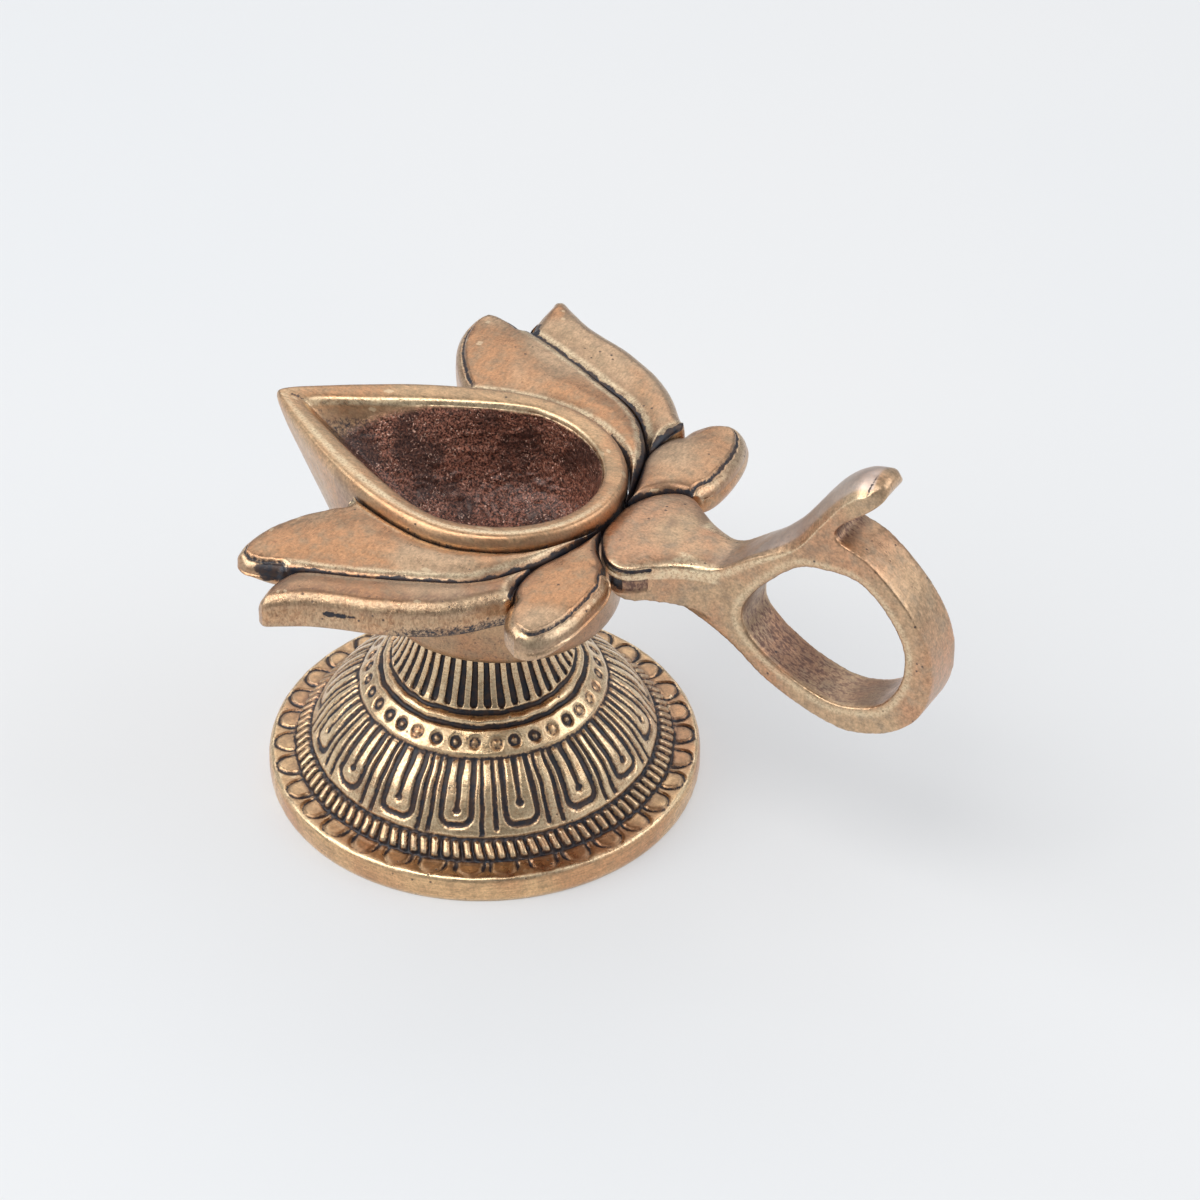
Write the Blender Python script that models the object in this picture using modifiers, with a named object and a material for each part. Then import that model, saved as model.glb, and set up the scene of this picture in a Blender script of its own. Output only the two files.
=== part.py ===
"""Brass lotus oil lamp: hollow turned foot, drop-shaped oil cup, six petals and a finger-ring handle.

All dimensions below are millimetres, measured from the foot's axis and the surface that it stands on.
+X runs towards the handle. The script builds in metres.
"""
import math

import bmesh
import bpy
from mathutils import Matrix, Vector

MM = 0.001
GAP = 0.3
MERGE = 0.00005

# Lamp
SPOUT_TIP_X = -40.8
RING_BACK_X = 87.4
AXIS_X = -(SPOUT_TIP_X + RING_BACK_X) / 2

# Foot: outer and inner half profiles, radius and height
FOOT_RADIUS = 38.0
FOOT_RIM_HEIGHT = 5.1
NECK_TOP_Z = 38.7
NECK_TOP_RADIUS = 12.6
FOOT_OUTSIDE = [
    (NECK_TOP_RADIUS, NECK_TOP_Z), (11.5, 35.2), (12.0, 32.6), (13.5, 28.5), (15.3, 25.2), (16.6, 23.4),
    (18.7, 21.9), (22.2, 18.4), (25.6, 15.8), (28.9, 11.0), (31.0, 7.2), (34.0, 4.9),
    (FOOT_RADIUS - 0.8, FOOT_RIM_HEIGHT), (FOOT_RADIUS, FOOT_RIM_HEIGHT - 0.8), (FOOT_RADIUS, 0.0),
]
FOOT_INSIDE = [
    (34.6, 0.0), (33.6, 2.0), (30.0, 4.2), (28.0, 6.6), (26.2, 10.0), (22.6, 14.2), (19.0, 17.2),
    (15.2, 19.6), (12.4, 22.4), (10.2, 26.0), (8.6, 30.4), (8.2, 34.4),
]
WEB_UNDERSIDE_Z = 34.4
TURN_STEPS = 64
SMALL_TURN_STEPS = 32

# Fixing screw and washer
SCREW_RADIUS = 3.0
SCREW_HOLE_RADIUS = SCREW_RADIUS + GAP
SCREW_LENGTH = 11.0
HEAD_RADIUS = 5.0
HEAD_HEIGHT = 3.6
SLOT_WIDTH = 1.2
SLOT_DEPTH = 1.6
WASHER_RADIUS = 6.5
WASHER_THICKNESS = 1.2
WASHER_TOP_Z = WEB_UNDERSIDE_Z - GAP
HEAD_TOP_Z = WASHER_TOP_Z - WASHER_THICKNESS - GAP

# Oil cup: rings of a drop-shaped section, as height, centre x, reach to the spout, reach to the back,
# half width and the bulge of the flanks
CUP_BOTTOM_Z = NECK_TOP_Z + GAP
CUP_FLOOR_Z = 47.5
DROP_CENTRE_X = 3.0
CUP_WALL_FRONT = 43.0
CUP_WALL_BACK = 22.9
CUP_WALL_HALF_WIDTH = 21.6
CUP_WALL_BULGE = 1.7
CUP_RINGS = [
    (CUP_BOTTOM_Z, 3.0, 29.0, 20.4, 19.4, 1.8),
    (40.4, 3.0, 31.0, 21.7, 20.7, 1.8),
    (46.0, 3.0, 33.6, 22.3, 21.1, 1.8),
    (52.9, 3.0, 37.6, 22.7, 21.3, 1.75),
    (59.6, DROP_CENTRE_X, 41.2, CUP_WALL_BACK, CUP_WALL_HALF_WIDTH, CUP_WALL_BULGE),
    (64.0, DROP_CENTRE_X, CUP_WALL_FRONT, CUP_WALL_BACK, CUP_WALL_HALF_WIDTH, CUP_WALL_BULGE),
    (65.7, 3.0, 43.8, 22.8, 21.2, 1.7),
    (66.3, 3.0, 43.2, 22.3, 20.4, 1.7),
    (66.1, 2.4, 39.5, 20.7, 18.8, 1.55),
    (65.2, 1.5, 35.5, 20.3, 17.4, 1.3),
    (62.0, 1.5, 31.0, 19.6, 16.6, 1.3),
    (57.0, 2.5, 24.5, 17.6, 15.8, 1.5),
    (52.0, 3.5, 19.5, 14.6, 13.8, 1.8),
    (48.6, 4.0, 14.5, 10.4, 9.6, 2.0),
    (CUP_FLOOR_Z, 4.0, 6.0, 5.0, 4.8, 2.0),
]
RING_POINTS = 48
BLIND_HOLE_TOP_Z = 44.3

# Petals, back half, in plan. The front half is its mirror image.
PETAL_EDGE_ROUND = 1.4
INNER_PETAL_Z = (58.4, 64.3)
OUTER_PETAL_Z = (58.4, 64.0)
SMALL_PETAL_Z = (58.4, 63.6)
CUP_SEAM_START_X = -13.3
CUP_SEAM_END_X = 22.9
CUP_SEAM_POINTS = 12
SEAM_STEPS = 3
INNER_TIP = [
    (-14.4, 39.0), (-17.4, 40.4), (-20.2, 40.9), (-22.2, 40.2), (-23.4, 38.4), (-23.7, 35.8),
    (-23.2, 32.4), (-21.7, 28.4), (-19.0, 24.1), (-16.2, 20.8), (-14.8, 19.5),
]
INNER_SEAM = [
    (-13.5, 38.9), (-8.0, 37.2), (0.0, 34.2), (7.0, 31.2), (12.6, 28.6), (16.6, 25.5), (20.0, 21.2),
    (22.1, 17.6), (23.7, 12.5), (24.3, 10.2),
]
OUTER_PETAL_ROOT = 7
OUTER_EDGE = [
    (24.0, 26.8), (22.0, 29.3), (17.9, 33.8), (13.2, 37.4), (6.0, 41.0), (-0.6, 43.1), (-5.4, 44.9),
    (-9.6, 47.2), (-12.0, 48.5), (-13.5, 47.6), (-14.1, 44.6), (-13.9, 41.4),
]
OUTER_SEAM = [(24.2, 26.6), (22.9, 22.4), (22.4, 19.0)]
SMALL_EDGE = [
    (24.6, 27.4), (25.0, 29.4), (26.6, 32.2), (29.4, 34.1), (32.0, 33.9), (34.2, 31.6), (35.9, 27.0),
    (36.6, 21.2), (36.4, 16.4), (35.4, 13.6),
]
SMALL_SEAM = [(33.6, 12.4), (30.4, 11.3), (27.6, 8.2), (26.4, 5.2)]
SMALL_ROOT = [(25.8, 5.4), (24.9, 8.1), (24.7, 9.6)]

# Handle: root petal in plan, and the strap in side view, x and height
ROOT_HALF = [
    (26.3, 0.0), (26.6, 3.3), (28.0, 7.6), (30.6, 10.6), (33.6, 11.7), (36.0, 10.9), (38.5, 8.8),
    (43.0, 5.9), (48.0, 4.6), (52.0, 4.5),
]
ROOT_Z = (56.2, 64.0)
STRAP_WIDTH = 9.0
HANDLE_SIDE = [
    (30.0, 55.6), (30.0, 63.4), (36.0, 63.8), (42.0, 63.8), (48.8, 64.0), (54.5, 69.2), (60.5, 75.3),
    (65.0, 80.8), (69.1, 85.8), (73.0, 89.6), (75.4, 90.6), (77.1, 89.3), (76.6, 86.6), (73.6, 84.7),
    (69.6, 80.6), (68.6, 77.6), (74.1, 76.0), (81.2, 70.0), (85.6, 63.6), (RING_BACK_X, 57.0),
    (86.4, 49.0), (82.4, 43.6), (77.0, 40.5), (71.5, 39.6), (64.2, 41.4), (57.0, 44.7), (51.5, 49.0),
    (46.4, 52.0), (41.0, 54.0), (35.3, 55.0),
]
FINGER_HOLE = [
    (61.9, 69.3), (68.2, 70.9), (73.6, 70.7), (78.2, 67.0), (81.5, 62.1), (82.5, 57.1), (81.4, 51.7),
    (78.2, 46.9), (73.7, 44.9), (69.1, 44.3), (62.6, 46.4), (56.5, 49.9), (52.5, 54.8), (54.4, 60.9),
]
STRAP_EDGE_ROUND = 1.3

MATERIALS = {
    "engraved_brass": ((0.62, 0.43, 0.22), 0.42, 1.0),
    "cup_brass": ((0.56, 0.37, 0.20), 0.48, 1.0),
    "petal_brass": ((0.66, 0.42, 0.22), 0.38, 1.0),
    "handle_brass": ((0.50, 0.37, 0.23), 0.44, 1.0),
    "screw_steel": ((0.55, 0.56, 0.58), 0.35, 1.0),
}


def clear_scene():
    for obj in list(bpy.data.objects):
        bpy.data.objects.remove(obj, do_unlink=True)


def make_collection(name):
    collection = bpy.data.collections.new(name)
    bpy.context.scene.collection.children.link(collection)
    return collection


def make_material(name):
    colour, roughness, metallic = MATERIALS[name]
    material = bpy.data.materials.new(name)
    material.use_nodes = True
    shader = material.node_tree.nodes["Principled BSDF"]
    shader.inputs["Base Color"].default_value = (*colour, 1.0)
    shader.inputs["Roughness"].default_value = roughness
    shader.inputs["Metallic"].default_value = metallic
    return material


def make_object(name, mesh, collection, material=None):
    obj = bpy.data.objects.new(name, mesh)
    collection.objects.link(obj)
    if material:
        mesh.materials.clear()
        mesh.materials.append(material)
    return obj


def make_cutter(name, mesh, collection):
    cutter = make_object(name, mesh, collection)
    cutter.hide_render = True
    cutter.display_type = "WIRE"
    return cutter


def catmull_rom(before, start, end, after, t):
    """A point a fraction t of the way from start to end, on a curve through all four points."""
    return (
        start * 2 + (end - before) * t + (before * 2 - start * 5 + end * 4 - after) * t ** 2
        + (start * 3 - before - end * 3 + after) * t ** 3
    ) / 2


def smooth(points, steps=3, closed=False):
    """A smooth curve through the points, as a finer list of points."""
    knots = [Vector(p) for p in points]
    if closed:
        knots = [knots[-1], *knots, knots[0], knots[1]]
    else:
        knots = [knots[0] * 2 - knots[1], *knots, knots[-1] * 2 - knots[-2]]
    curve = [
        catmull_rom(*knots[i:i + 4], step / steps)
        for i in range(len(knots) - 3) for step in range(steps)
    ]
    return curve if closed else [*curve, knots[-2]]


def shifted(curve, distance):
    """The open curve moved sideways, to the left of its direction."""
    moved = []
    for i, point in enumerate(curve):
        along = (curve[min(i + 1, len(curve) - 1)] - curve[max(i - 1, 0)]).normalized()
        moved.append(point + Vector((-along.y, along.x)) * distance)
    return moved


def mirrored(outline):
    return [Vector((p.x, -p.y)) for p in outline]


def prism_mesh(name, outline, low, high, upright=False):
    """A flat outline given a thickness along Z, or along Y for an upright one drawn in x and height."""
    curve = bpy.data.curves.new(name, "CURVE")
    curve.dimensions = "2D"
    curve.fill_mode = "BOTH"
    curve.extrude = (high - low) / 2 * MM
    spline = curve.splines.new("POLY")
    spline.points.add(len(outline) - 1)
    for point, place in zip(spline.points, outline):
        point.co = (place.x * MM, place.y * MM, 0.0, 1.0)
    spline.use_cyclic_u = True
    holder = bpy.data.objects.new(name, curve)
    bpy.context.scene.collection.objects.link(holder)
    bpy.context.view_layer.update()
    mesh = bpy.data.meshes.new_from_object(holder.evaluated_get(bpy.context.evaluated_depsgraph_get()))
    bpy.data.objects.remove(holder, do_unlink=True)
    bm = bmesh.new()
    bm.from_mesh(mesh)
    bmesh.ops.remove_doubles(bm, verts=bm.verts, dist=MERGE / 5)
    if upright:
        quarter_turn = Matrix.Rotation(math.radians(90), 3, "X")
        bmesh.ops.rotate(bm, verts=bm.verts, cent=(0, 0, 0), matrix=quarter_turn)
        bmesh.ops.translate(bm, verts=bm.verts, vec=(0, (high + low) / 2 * MM, 0))
    else:
        bmesh.ops.translate(bm, verts=bm.verts, vec=(0, 0, (high + low) / 2 * MM))
    bmesh.ops.recalc_face_normals(bm, faces=bm.faces)
    bm.to_mesh(mesh)
    bm.free()
    mesh.name = name
    return mesh


def add_bevel(obj, width, segments=2):
    bevel = obj.modifiers.new("rounded_edges", "BEVEL")
    bevel.width = width * MM
    bevel.segments = segments
    bevel.limit_method = "ANGLE"
    bevel.angle_limit = math.radians(50)


def cut(obj, cutter, operation="DIFFERENCE"):
    boolean = obj.modifiers.new(cutter.name, "BOOLEAN")
    boolean.operation = operation
    boolean.object = cutter


def turned(name, profile, steps, collection, material, closed=True):
    """A profile turned about Z. It runs down its outer side; a closed one comes back up the inside."""
    count = len(profile)
    edges = [(i, i + 1) for i in range(count - 1)] + ([(count - 1, 0)] if closed else [])
    mesh = bpy.data.meshes.new(name)
    mesh.from_pydata([(r * MM, 0.0, z * MM) for r, z in profile], edges, [])
    obj = make_object(name, mesh, collection, material)
    screw = obj.modifiers.new("turn", "SCREW")
    screw.axis = "Z"
    screw.steps = steps
    screw.render_steps = steps
    screw.use_merge_vertices = True
    screw.merge_threshold = MERGE
    return obj


def drop_point(centre, front, back, half_width, bulge, angle):
    """A point of a drop-shaped outline: half an ellipse behind the centre, a pointed nose before it."""
    reach, side = math.cos(angle), math.sin(angle)
    if reach >= 0:
        return Vector((centre + back * reach, half_width * side))
    return Vector((centre + front * reach, math.copysign(half_width * (1 - (-reach) ** bulge), side)))


def cup_seam():
    """The cup's wall in plan, over the crown of its back half, a gap outside it."""
    wall = (DROP_CENTRE_X, CUP_WALL_FRONT, CUP_WALL_BACK, CUP_WALL_HALF_WIDTH, CUP_WALL_BULGE)
    start = math.acos((CUP_SEAM_START_X - DROP_CENTRE_X) / CUP_WALL_FRONT)
    end = math.acos((CUP_SEAM_END_X - DROP_CENTRE_X) / CUP_WALL_BACK)
    angles = [start + (end - start) * i / CUP_SEAM_POINTS for i in range(CUP_SEAM_POINTS + 1)]
    return shifted([drop_point(*wall, angle) for angle in angles], GAP)


def pedestal(collection, material):
    profile = [*FOOT_OUTSIDE, *FOOT_INSIDE,
               (SCREW_HOLE_RADIUS, WEB_UNDERSIDE_Z), (SCREW_HOLE_RADIUS, NECK_TOP_Z)]
    return turned("pedestal", profile, TURN_STEPS, collection, material)


def lotus_bowl(collection, cutters, material):
    bm = bmesh.new()
    rings = []
    for z, *shape in CUP_RINGS:
        section = [drop_point(*shape, 2 * math.pi * i / RING_POINTS) for i in range(RING_POINTS)]
        rings.append([bm.verts.new((x * MM, y * MM, z * MM)) for x, y in section])
    for lower, upper in zip(rings, rings[1:]):
        for i in range(RING_POINTS):
            j = (i + 1) % RING_POINTS
            bm.faces.new((lower[i], lower[j], upper[j], upper[i]))
    bm.faces.new(reversed(rings[0]))
    bm.faces.new(rings[-1])
    bmesh.ops.recalc_face_normals(bm, faces=bm.faces)
    mesh = bpy.data.meshes.new("lotus_bowl")
    bm.to_mesh(mesh)
    bm.free()
    cup = make_object("lotus_bowl", mesh, collection, material)

    drill_depth = BLIND_HOLE_TOP_Z - CUP_BOTTOM_Z + 1.0
    bm = bmesh.new()
    bmesh.ops.create_cone(bm, cap_ends=True, segments=32, radius1=SCREW_HOLE_RADIUS * MM,
                          radius2=SCREW_HOLE_RADIUS * MM, depth=drill_depth * MM)
    drill_mesh = bpy.data.meshes.new("screw_drill")
    bm.to_mesh(drill_mesh)
    bm.free()
    drill = make_cutter("screw_drill", drill_mesh, cutters)
    drill.location.z = (BLIND_HOLE_TOP_Z - drill_depth / 2) * MM
    cut(cup, drill)
    return cup, drill


def petal(name, outline, levels, side, collection, material):
    if side == "front":
        outline = mirrored(outline)
    mesh = prism_mesh(f"{name}_{side}", outline, *levels)
    obj = make_object(f"{name}_{side}", mesh, collection, material)
    add_bevel(obj, PETAL_EDGE_ROUND)
    return obj


def petal_outlines():
    inner_seam = smooth(INNER_SEAM, SEAM_STEPS)
    meeting = OUTER_PETAL_ROOT * SEAM_STEPS
    inner = [*cup_seam(), *reversed(shifted(inner_seam, -GAP / 2)), *smooth(INNER_TIP, 2)]
    beside_inner = shifted(inner_seam, GAP / 2)
    outer_seam = smooth(OUTER_SEAM)
    outer = [*beside_inner[:meeting], *reversed(shifted(outer_seam, -GAP / 2)), *smooth(OUTER_EDGE, 2)]
    small_seam = smooth(SMALL_SEAM)
    small = [*reversed(shifted(outer_seam, GAP / 2)), *smooth(SMALL_EDGE, 2),
             *shifted(small_seam, GAP / 2), *smooth(SMALL_ROOT, 1), *reversed(beside_inner[meeting + 1:])]
    return inner, outer, small


def handle(collection, cutters, material):
    root_half = smooth(ROOT_HALF, 2)
    root_outline = [*root_half, *reversed(mirrored(root_half[1:]))]
    root = make_cutter("handle_root", prism_mesh("handle_root", root_outline, *ROOT_Z), cutters)
    hole_mesh = prism_mesh("finger_hole", smooth(FINGER_HOLE, 3, closed=True),
                           -STRAP_WIDTH, STRAP_WIDTH, upright=True)
    hole = make_cutter("finger_hole", hole_mesh, cutters)
    strap_mesh = prism_mesh("handle", smooth(HANDLE_SIDE, 2, closed=True),
                            -STRAP_WIDTH / 2, STRAP_WIDTH / 2, upright=True)
    strap = make_object("handle", strap_mesh, collection, material)
    cut(strap, hole)
    cut(strap, root, "UNION")
    add_bevel(strap, STRAP_EDGE_ROUND)
    return strap, hole, root


def fixing_screw(collection, cutters, material):
    bottom = HEAD_TOP_Z - HEAD_HEIGHT
    profile = [
        (0.0, HEAD_TOP_Z + SCREW_LENGTH), (SCREW_RADIUS - 0.6, HEAD_TOP_Z + SCREW_LENGTH),
        (SCREW_RADIUS, HEAD_TOP_Z + SCREW_LENGTH - 0.6), (SCREW_RADIUS, HEAD_TOP_Z),
        (HEAD_RADIUS, HEAD_TOP_Z), (HEAD_RADIUS, bottom + 1.2), (HEAD_RADIUS - 1.2, bottom), (0.0, bottom),
    ]
    screw = turned("fixing_screw", profile, SMALL_TURN_STEPS, collection, material, closed=False)
    bm = bmesh.new()
    bmesh.ops.create_cube(bm, size=1.0)
    bmesh.ops.scale(bm, vec=(3 * HEAD_RADIUS * MM, SLOT_WIDTH * MM, 2 * SLOT_DEPTH * MM), verts=bm.verts)
    slot_mesh = bpy.data.meshes.new("driver_slot")
    bm.to_mesh(slot_mesh)
    bm.free()
    slot = make_cutter("driver_slot", slot_mesh, cutters)
    slot.location.z = bottom * MM
    cut(screw, slot)
    return screw, slot


def washer(collection, material):
    low = WASHER_TOP_Z - WASHER_THICKNESS
    profile = [(WASHER_RADIUS, WASHER_TOP_Z), (WASHER_RADIUS, low),
               (SCREW_HOLE_RADIUS, low), (SCREW_HOLE_RADIUS, WASHER_TOP_Z)]
    return turned("washer", profile, SMALL_TURN_STEPS, collection, material)


def shade_round(obj):
    obj.data.shade_smooth()
    obj.data.set_sharp_from_angle(angle=math.radians(35))


def main():
    clear_scene()
    parts = make_collection("lotus_oil_lamp")
    cutters = make_collection("cutters")
    finish = {name: make_material(name) for name in MATERIALS}

    pieces = [pedestal(parts, finish["engraved_brass"])]
    pieces.extend(lotus_bowl(parts, cutters, finish["cup_brass"]))
    inner, outer, small = petal_outlines()
    for side in ("front", "back"):
        pieces.append(petal("inner_petal", inner, INNER_PETAL_Z, side, parts, finish["petal_brass"]))
        pieces.append(petal("outer_petal", outer, OUTER_PETAL_Z, side, parts, finish["petal_brass"]))
        pieces.append(petal("small_petal", small, SMALL_PETAL_Z, side, parts, finish["petal_brass"]))
    pieces.extend(handle(parts, cutters, finish["handle_brass"]))
    pieces.extend(fixing_screw(parts, cutters, finish["screw_steel"]))
    pieces.append(washer(parts, finish["screw_steel"]))

    axis = bpy.data.objects.new("foot_axis", None)
    parts.objects.link(axis)
    axis.location.x = AXIS_X * MM
    for piece in pieces:
        piece.parent = axis
        shade_round(piece)


main()
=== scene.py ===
"""The brass lotus oil lamp's looks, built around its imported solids.

Shapes are worked out in millimetres, measured from the foot's axis and the surface that it stands on.
+X runs towards the handle, and the front half is at negative Y.
"""

import math

import bmesh
import bpy
import numpy as np
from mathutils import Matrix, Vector, noise


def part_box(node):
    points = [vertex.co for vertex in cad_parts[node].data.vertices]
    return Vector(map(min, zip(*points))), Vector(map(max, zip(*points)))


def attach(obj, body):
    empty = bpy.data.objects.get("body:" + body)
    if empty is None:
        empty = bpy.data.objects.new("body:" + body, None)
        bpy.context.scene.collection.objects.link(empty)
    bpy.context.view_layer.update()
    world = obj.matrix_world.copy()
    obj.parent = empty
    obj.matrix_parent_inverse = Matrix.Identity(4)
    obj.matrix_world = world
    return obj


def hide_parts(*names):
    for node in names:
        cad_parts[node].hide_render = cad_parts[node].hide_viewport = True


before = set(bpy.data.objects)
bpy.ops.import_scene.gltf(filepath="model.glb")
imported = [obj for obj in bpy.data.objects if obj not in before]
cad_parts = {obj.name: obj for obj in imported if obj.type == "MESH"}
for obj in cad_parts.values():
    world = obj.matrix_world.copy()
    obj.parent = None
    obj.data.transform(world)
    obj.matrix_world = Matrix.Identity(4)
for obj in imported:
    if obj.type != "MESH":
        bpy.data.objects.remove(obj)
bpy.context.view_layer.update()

MM = 0.001
FOOT_LOW, FOOT_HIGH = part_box("pedestal")
CUP_LOW, CUP_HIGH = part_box("lotus_bowl")
HANDLE_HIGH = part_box("handle")[1]
AXIS = Vector(((FOOT_LOW.x + FOOT_HIGH.x) / 2, (FOOT_LOW.y + FOOT_HIGH.y) / 2, FOOT_LOW.z))
FOOT_RADIUS = (FOOT_HIGH.x - FOOT_LOW.x) / 2 / MM
NECK_TOP_Z = (FOOT_HIGH.z - AXIS.z) / MM
CUP_BOTTOM_Z = (CUP_LOW.z - AXIS.z) / MM
RIM_Z = (CUP_HIGH.z - AXIS.z) / MM
RING_BACK_X = (HANDLE_HIGH.x - AXIS.x) / MM

# Camera: its direction, its distance from the plane that it looks at, where it aims and its lens
CAMERA_AZIMUTH = math.radians(29.7)
CAMERA_ELEVATION = math.radians(37.8)
CAMERA_DISTANCE = 800.0
CAMERA_AIM_RIGHT = 20.3
CAMERA_AIM_UP = 28.35
CAMERA_LENS = 135.6
# The engraving starts this many degrees to the left of the side of the foot that faces the camera
PATTERN_TURN = 19.45
PATTERN_ZERO = CAMERA_AZIMUTH - math.pi / 2 - math.radians(PATTERN_TURN)


# ---------------- helpers

def ramp(low, high, x):
    """0 below low, 1 above high and a smooth step between them."""
    t = np.clip((x - low) / (high - low), 0.0, 1.0)
    return t * t * (3 - 2 * t)


def stroke(distance, half_width, softness=0.16):
    """1 inside a line of the given half width and 0 outside it, from the distance to its middle."""
    return 1 - ramp(half_width - softness, half_width + softness, np.abs(distance))


def smooth_noise(points, scale, seed=0.0):
    """Smooth noise from -1 to 1 at an array of points in millimetres. scale is the size of its lumps."""
    flat = np.asarray(points, float).reshape(-1, 3) / scale + seed
    values = [noise.noise(p) for p in flat.tolist()]
    return np.array(values).reshape(np.shape(points)[:-1])


def catmull_rom(points, count, closed=False):
    """A smooth curve through the points, read at evenly spaced places along its length."""
    knots = np.array(points, float)
    if closed:
        knots = np.vstack([knots[-1], knots, knots[:2]])
    else:
        knots = np.vstack([2 * knots[0] - knots[1], knots, 2 * knots[-1] - knots[-2]])
    fine = []
    for i in range(len(knots) - 3):
        p0, p1, p2, p3 = knots[i:i + 4]
        t = np.linspace(0, 1, 24, endpoint=False)[:, None]
        fine.append((2 * p1 + (p2 - p0) * t + (2 * p0 - 5 * p1 + 4 * p2 - p3) * t ** 2
                     + (3 * p1 - p0 - 3 * p2 + p3) * t ** 3) / 2)
    fine = np.vstack([*fine, knots[-2]])
    return along(fine, np.linspace(0, 1, count))


def along(curve, fractions):
    """The points of a curve at the given fractions of its length."""
    run = np.concatenate([[0], np.cumsum(np.linalg.norm(np.diff(curve, axis=0), axis=1))])
    wanted = np.asarray(fractions) * run[-1]
    return np.stack([np.interp(wanted, run, curve[:, i]) for i in range(curve.shape[1])], axis=1)


def distance_to(curve, points):
    """The distance in plan from each point to the nearest stretch of a curve."""
    flat = np.asarray(points)[..., :2].reshape(-1, 2)
    nearest = np.full(len(flat), 1e9)
    for a, b in zip(curve[:-1], curve[1:]):
        line = b - a
        t = np.clip((flat - a) @ line / max(line @ line, 1e-9), 0, 1)
        nearest = np.minimum(nearest, np.linalg.norm(flat - (a + t[:, None] * line), axis=1))
    return nearest.reshape(np.shape(points)[:-1])


def make_object(name, vertices, faces):
    """An object with a mesh of the given vertices, which are in metres."""
    mesh = bpy.data.meshes.new(name)
    mesh.from_pydata(vertices.tolist(), [], faces)
    made = bpy.data.objects.new(name, mesh)
    bpy.context.scene.collection.objects.link(made)
    return made


def make_piece(name, vertices, faces, attributes, node, material):
    """A visual piece that stands for a CAD node, from vertices in millimetres from the foot's axis."""
    piece = make_object(name, vertices * MM + np.array(AXIS), faces)
    mesh = piece.data
    for label, values in attributes.items():
        layer = mesh.attributes.new(label, "FLOAT", "POINT")
        layer.data.foreach_set("value", np.asarray(values, np.float32).ravel())
    mesh.shade_smooth()
    mesh.materials.append(material)
    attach(piece, "root")
    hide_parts(node)


def ring_faces(rows, columns, capped=True, outward=True):
    """Faces of a stack of closed rings, with its end rings filled if it is capped."""
    i, j = np.meshgrid(np.arange(rows - 1), np.arange(columns), indexing="ij")
    k = (j + 1) % columns
    quads = np.stack([i * columns + j, i * columns + k, (i + 1) * columns + k, (i + 1) * columns + j], -1)
    quads = quads.reshape(-1, 4)
    faces = (quads if outward else quads[:, ::-1]).tolist()
    if capped:
        first, last = list(range(columns)), list(range((rows - 1) * columns, rows * columns))
        faces.append(first[::-1] if outward else first)
        faces.append(last if outward else last[::-1])
    return faces


# ---------------- materials

class Graph:
    """Builds the nodes of a material or a world: their settings, their constant inputs and their links."""

    def __init__(self, owner):
        owner.use_nodes = True
        self.tree = owner.node_tree

    def node(self, kind, inputs=None, **settings):
        made = self.tree.nodes.new(f"ShaderNode{kind}")
        for key, value in settings.items():
            setattr(made, key, value)
        self.feed(made, inputs or {})
        return made

    def feed(self, made, inputs):
        for key, value in inputs.items():
            socket = made.inputs[key]
            if isinstance(value, bpy.types.NodeSocket):
                self.tree.links.new(value, socket)
            elif isinstance(value, tuple) and len(value) == 3 and socket.type == "RGBA":
                socket.default_value = (*value, 1.0)
            else:
                socket.default_value = value

    def place(self):
        """Object coordinates in millimetres."""
        coordinates = self.node("TexCoord").outputs["Object"]
        return self.node("VectorMath", {0: coordinates, "Scale": 1 / MM}, operation="SCALE").outputs[0]

    def stretched(self, place, squeeze):
        return self.node("VectorMath", {0: place, 1: squeeze}, operation="MULTIPLY").outputs[0]

    def noise(self, place, scale, detail=3.0, roughness=0.5, distortion=0.0):
        return self.node("TexNoise", {"Vector": place, "Scale": scale, "Detail": detail,
                                      "Roughness": roughness, "Distortion": distortion}).outputs["Fac"]

    def spread(self, value, low, high, to_low=0.0, to_high=1.0):
        return self.node("MapRange", {"Value": value, "From Min": low, "From Max": high,
                                      "To Min": to_low, "To Max": to_high},
                         interpolation_type="SMOOTHSTEP").outputs["Result"]

    def maths(self, operation, a, b, clamp):
        return self.node("Math", {0: a, 1: b}, operation=operation, use_clamp=clamp).outputs[0]

    def plus(self, a, b, clamp=False):
        return self.maths("ADD", a, b, clamp)

    def minus(self, a, b, clamp=False):
        return self.maths("SUBTRACT", a, b, clamp)

    def times(self, a, b, clamp=False):
        return self.maths("MULTIPLY", a, b, clamp)

    def larger(self, a, b, clamp=False):
        return self.maths("MAXIMUM", a, b, clamp)

    def mix(self, factor, a, b):
        return self.node("Mix", {"Factor": factor, 6: a, 7: b}, data_type="RGBA").outputs[2]

    def attribute(self, label):
        return self.node("Attribute", attribute_name=label).outputs["Fac"]


# Colours that the brasses share
TARNISH_AND_SHADE_BROWN = (0.15, 0.075, 0.055)
WORN_AND_HIGHLIT_BRASS = (1.0, 0.82, 0.54)
POLISH_AND_REFLECTION_GREY = (0.58, 0.51, 0.48)
BRUSHED_DARK, BRUSHED_LIGHT = (0.25, 0.13, 0.07), (0.80, 0.56, 0.34)
PATINA_AND_SHADE_BLUE, PATINA_AND_SHADE_BROWN = (0.013, 0.014, 0.024), (0.05, 0.026, 0.02)
SAND_DARK, SAND_LIGHT, SAND_SOOT = (0.03, 0.009, 0.006), (0.52, 0.21, 0.135), (0.03, 0.011, 0.009)
SAND_GLINT = (0.95, 0.62, 0.48)
BUMP_DISTANCE = 0.05


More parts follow.
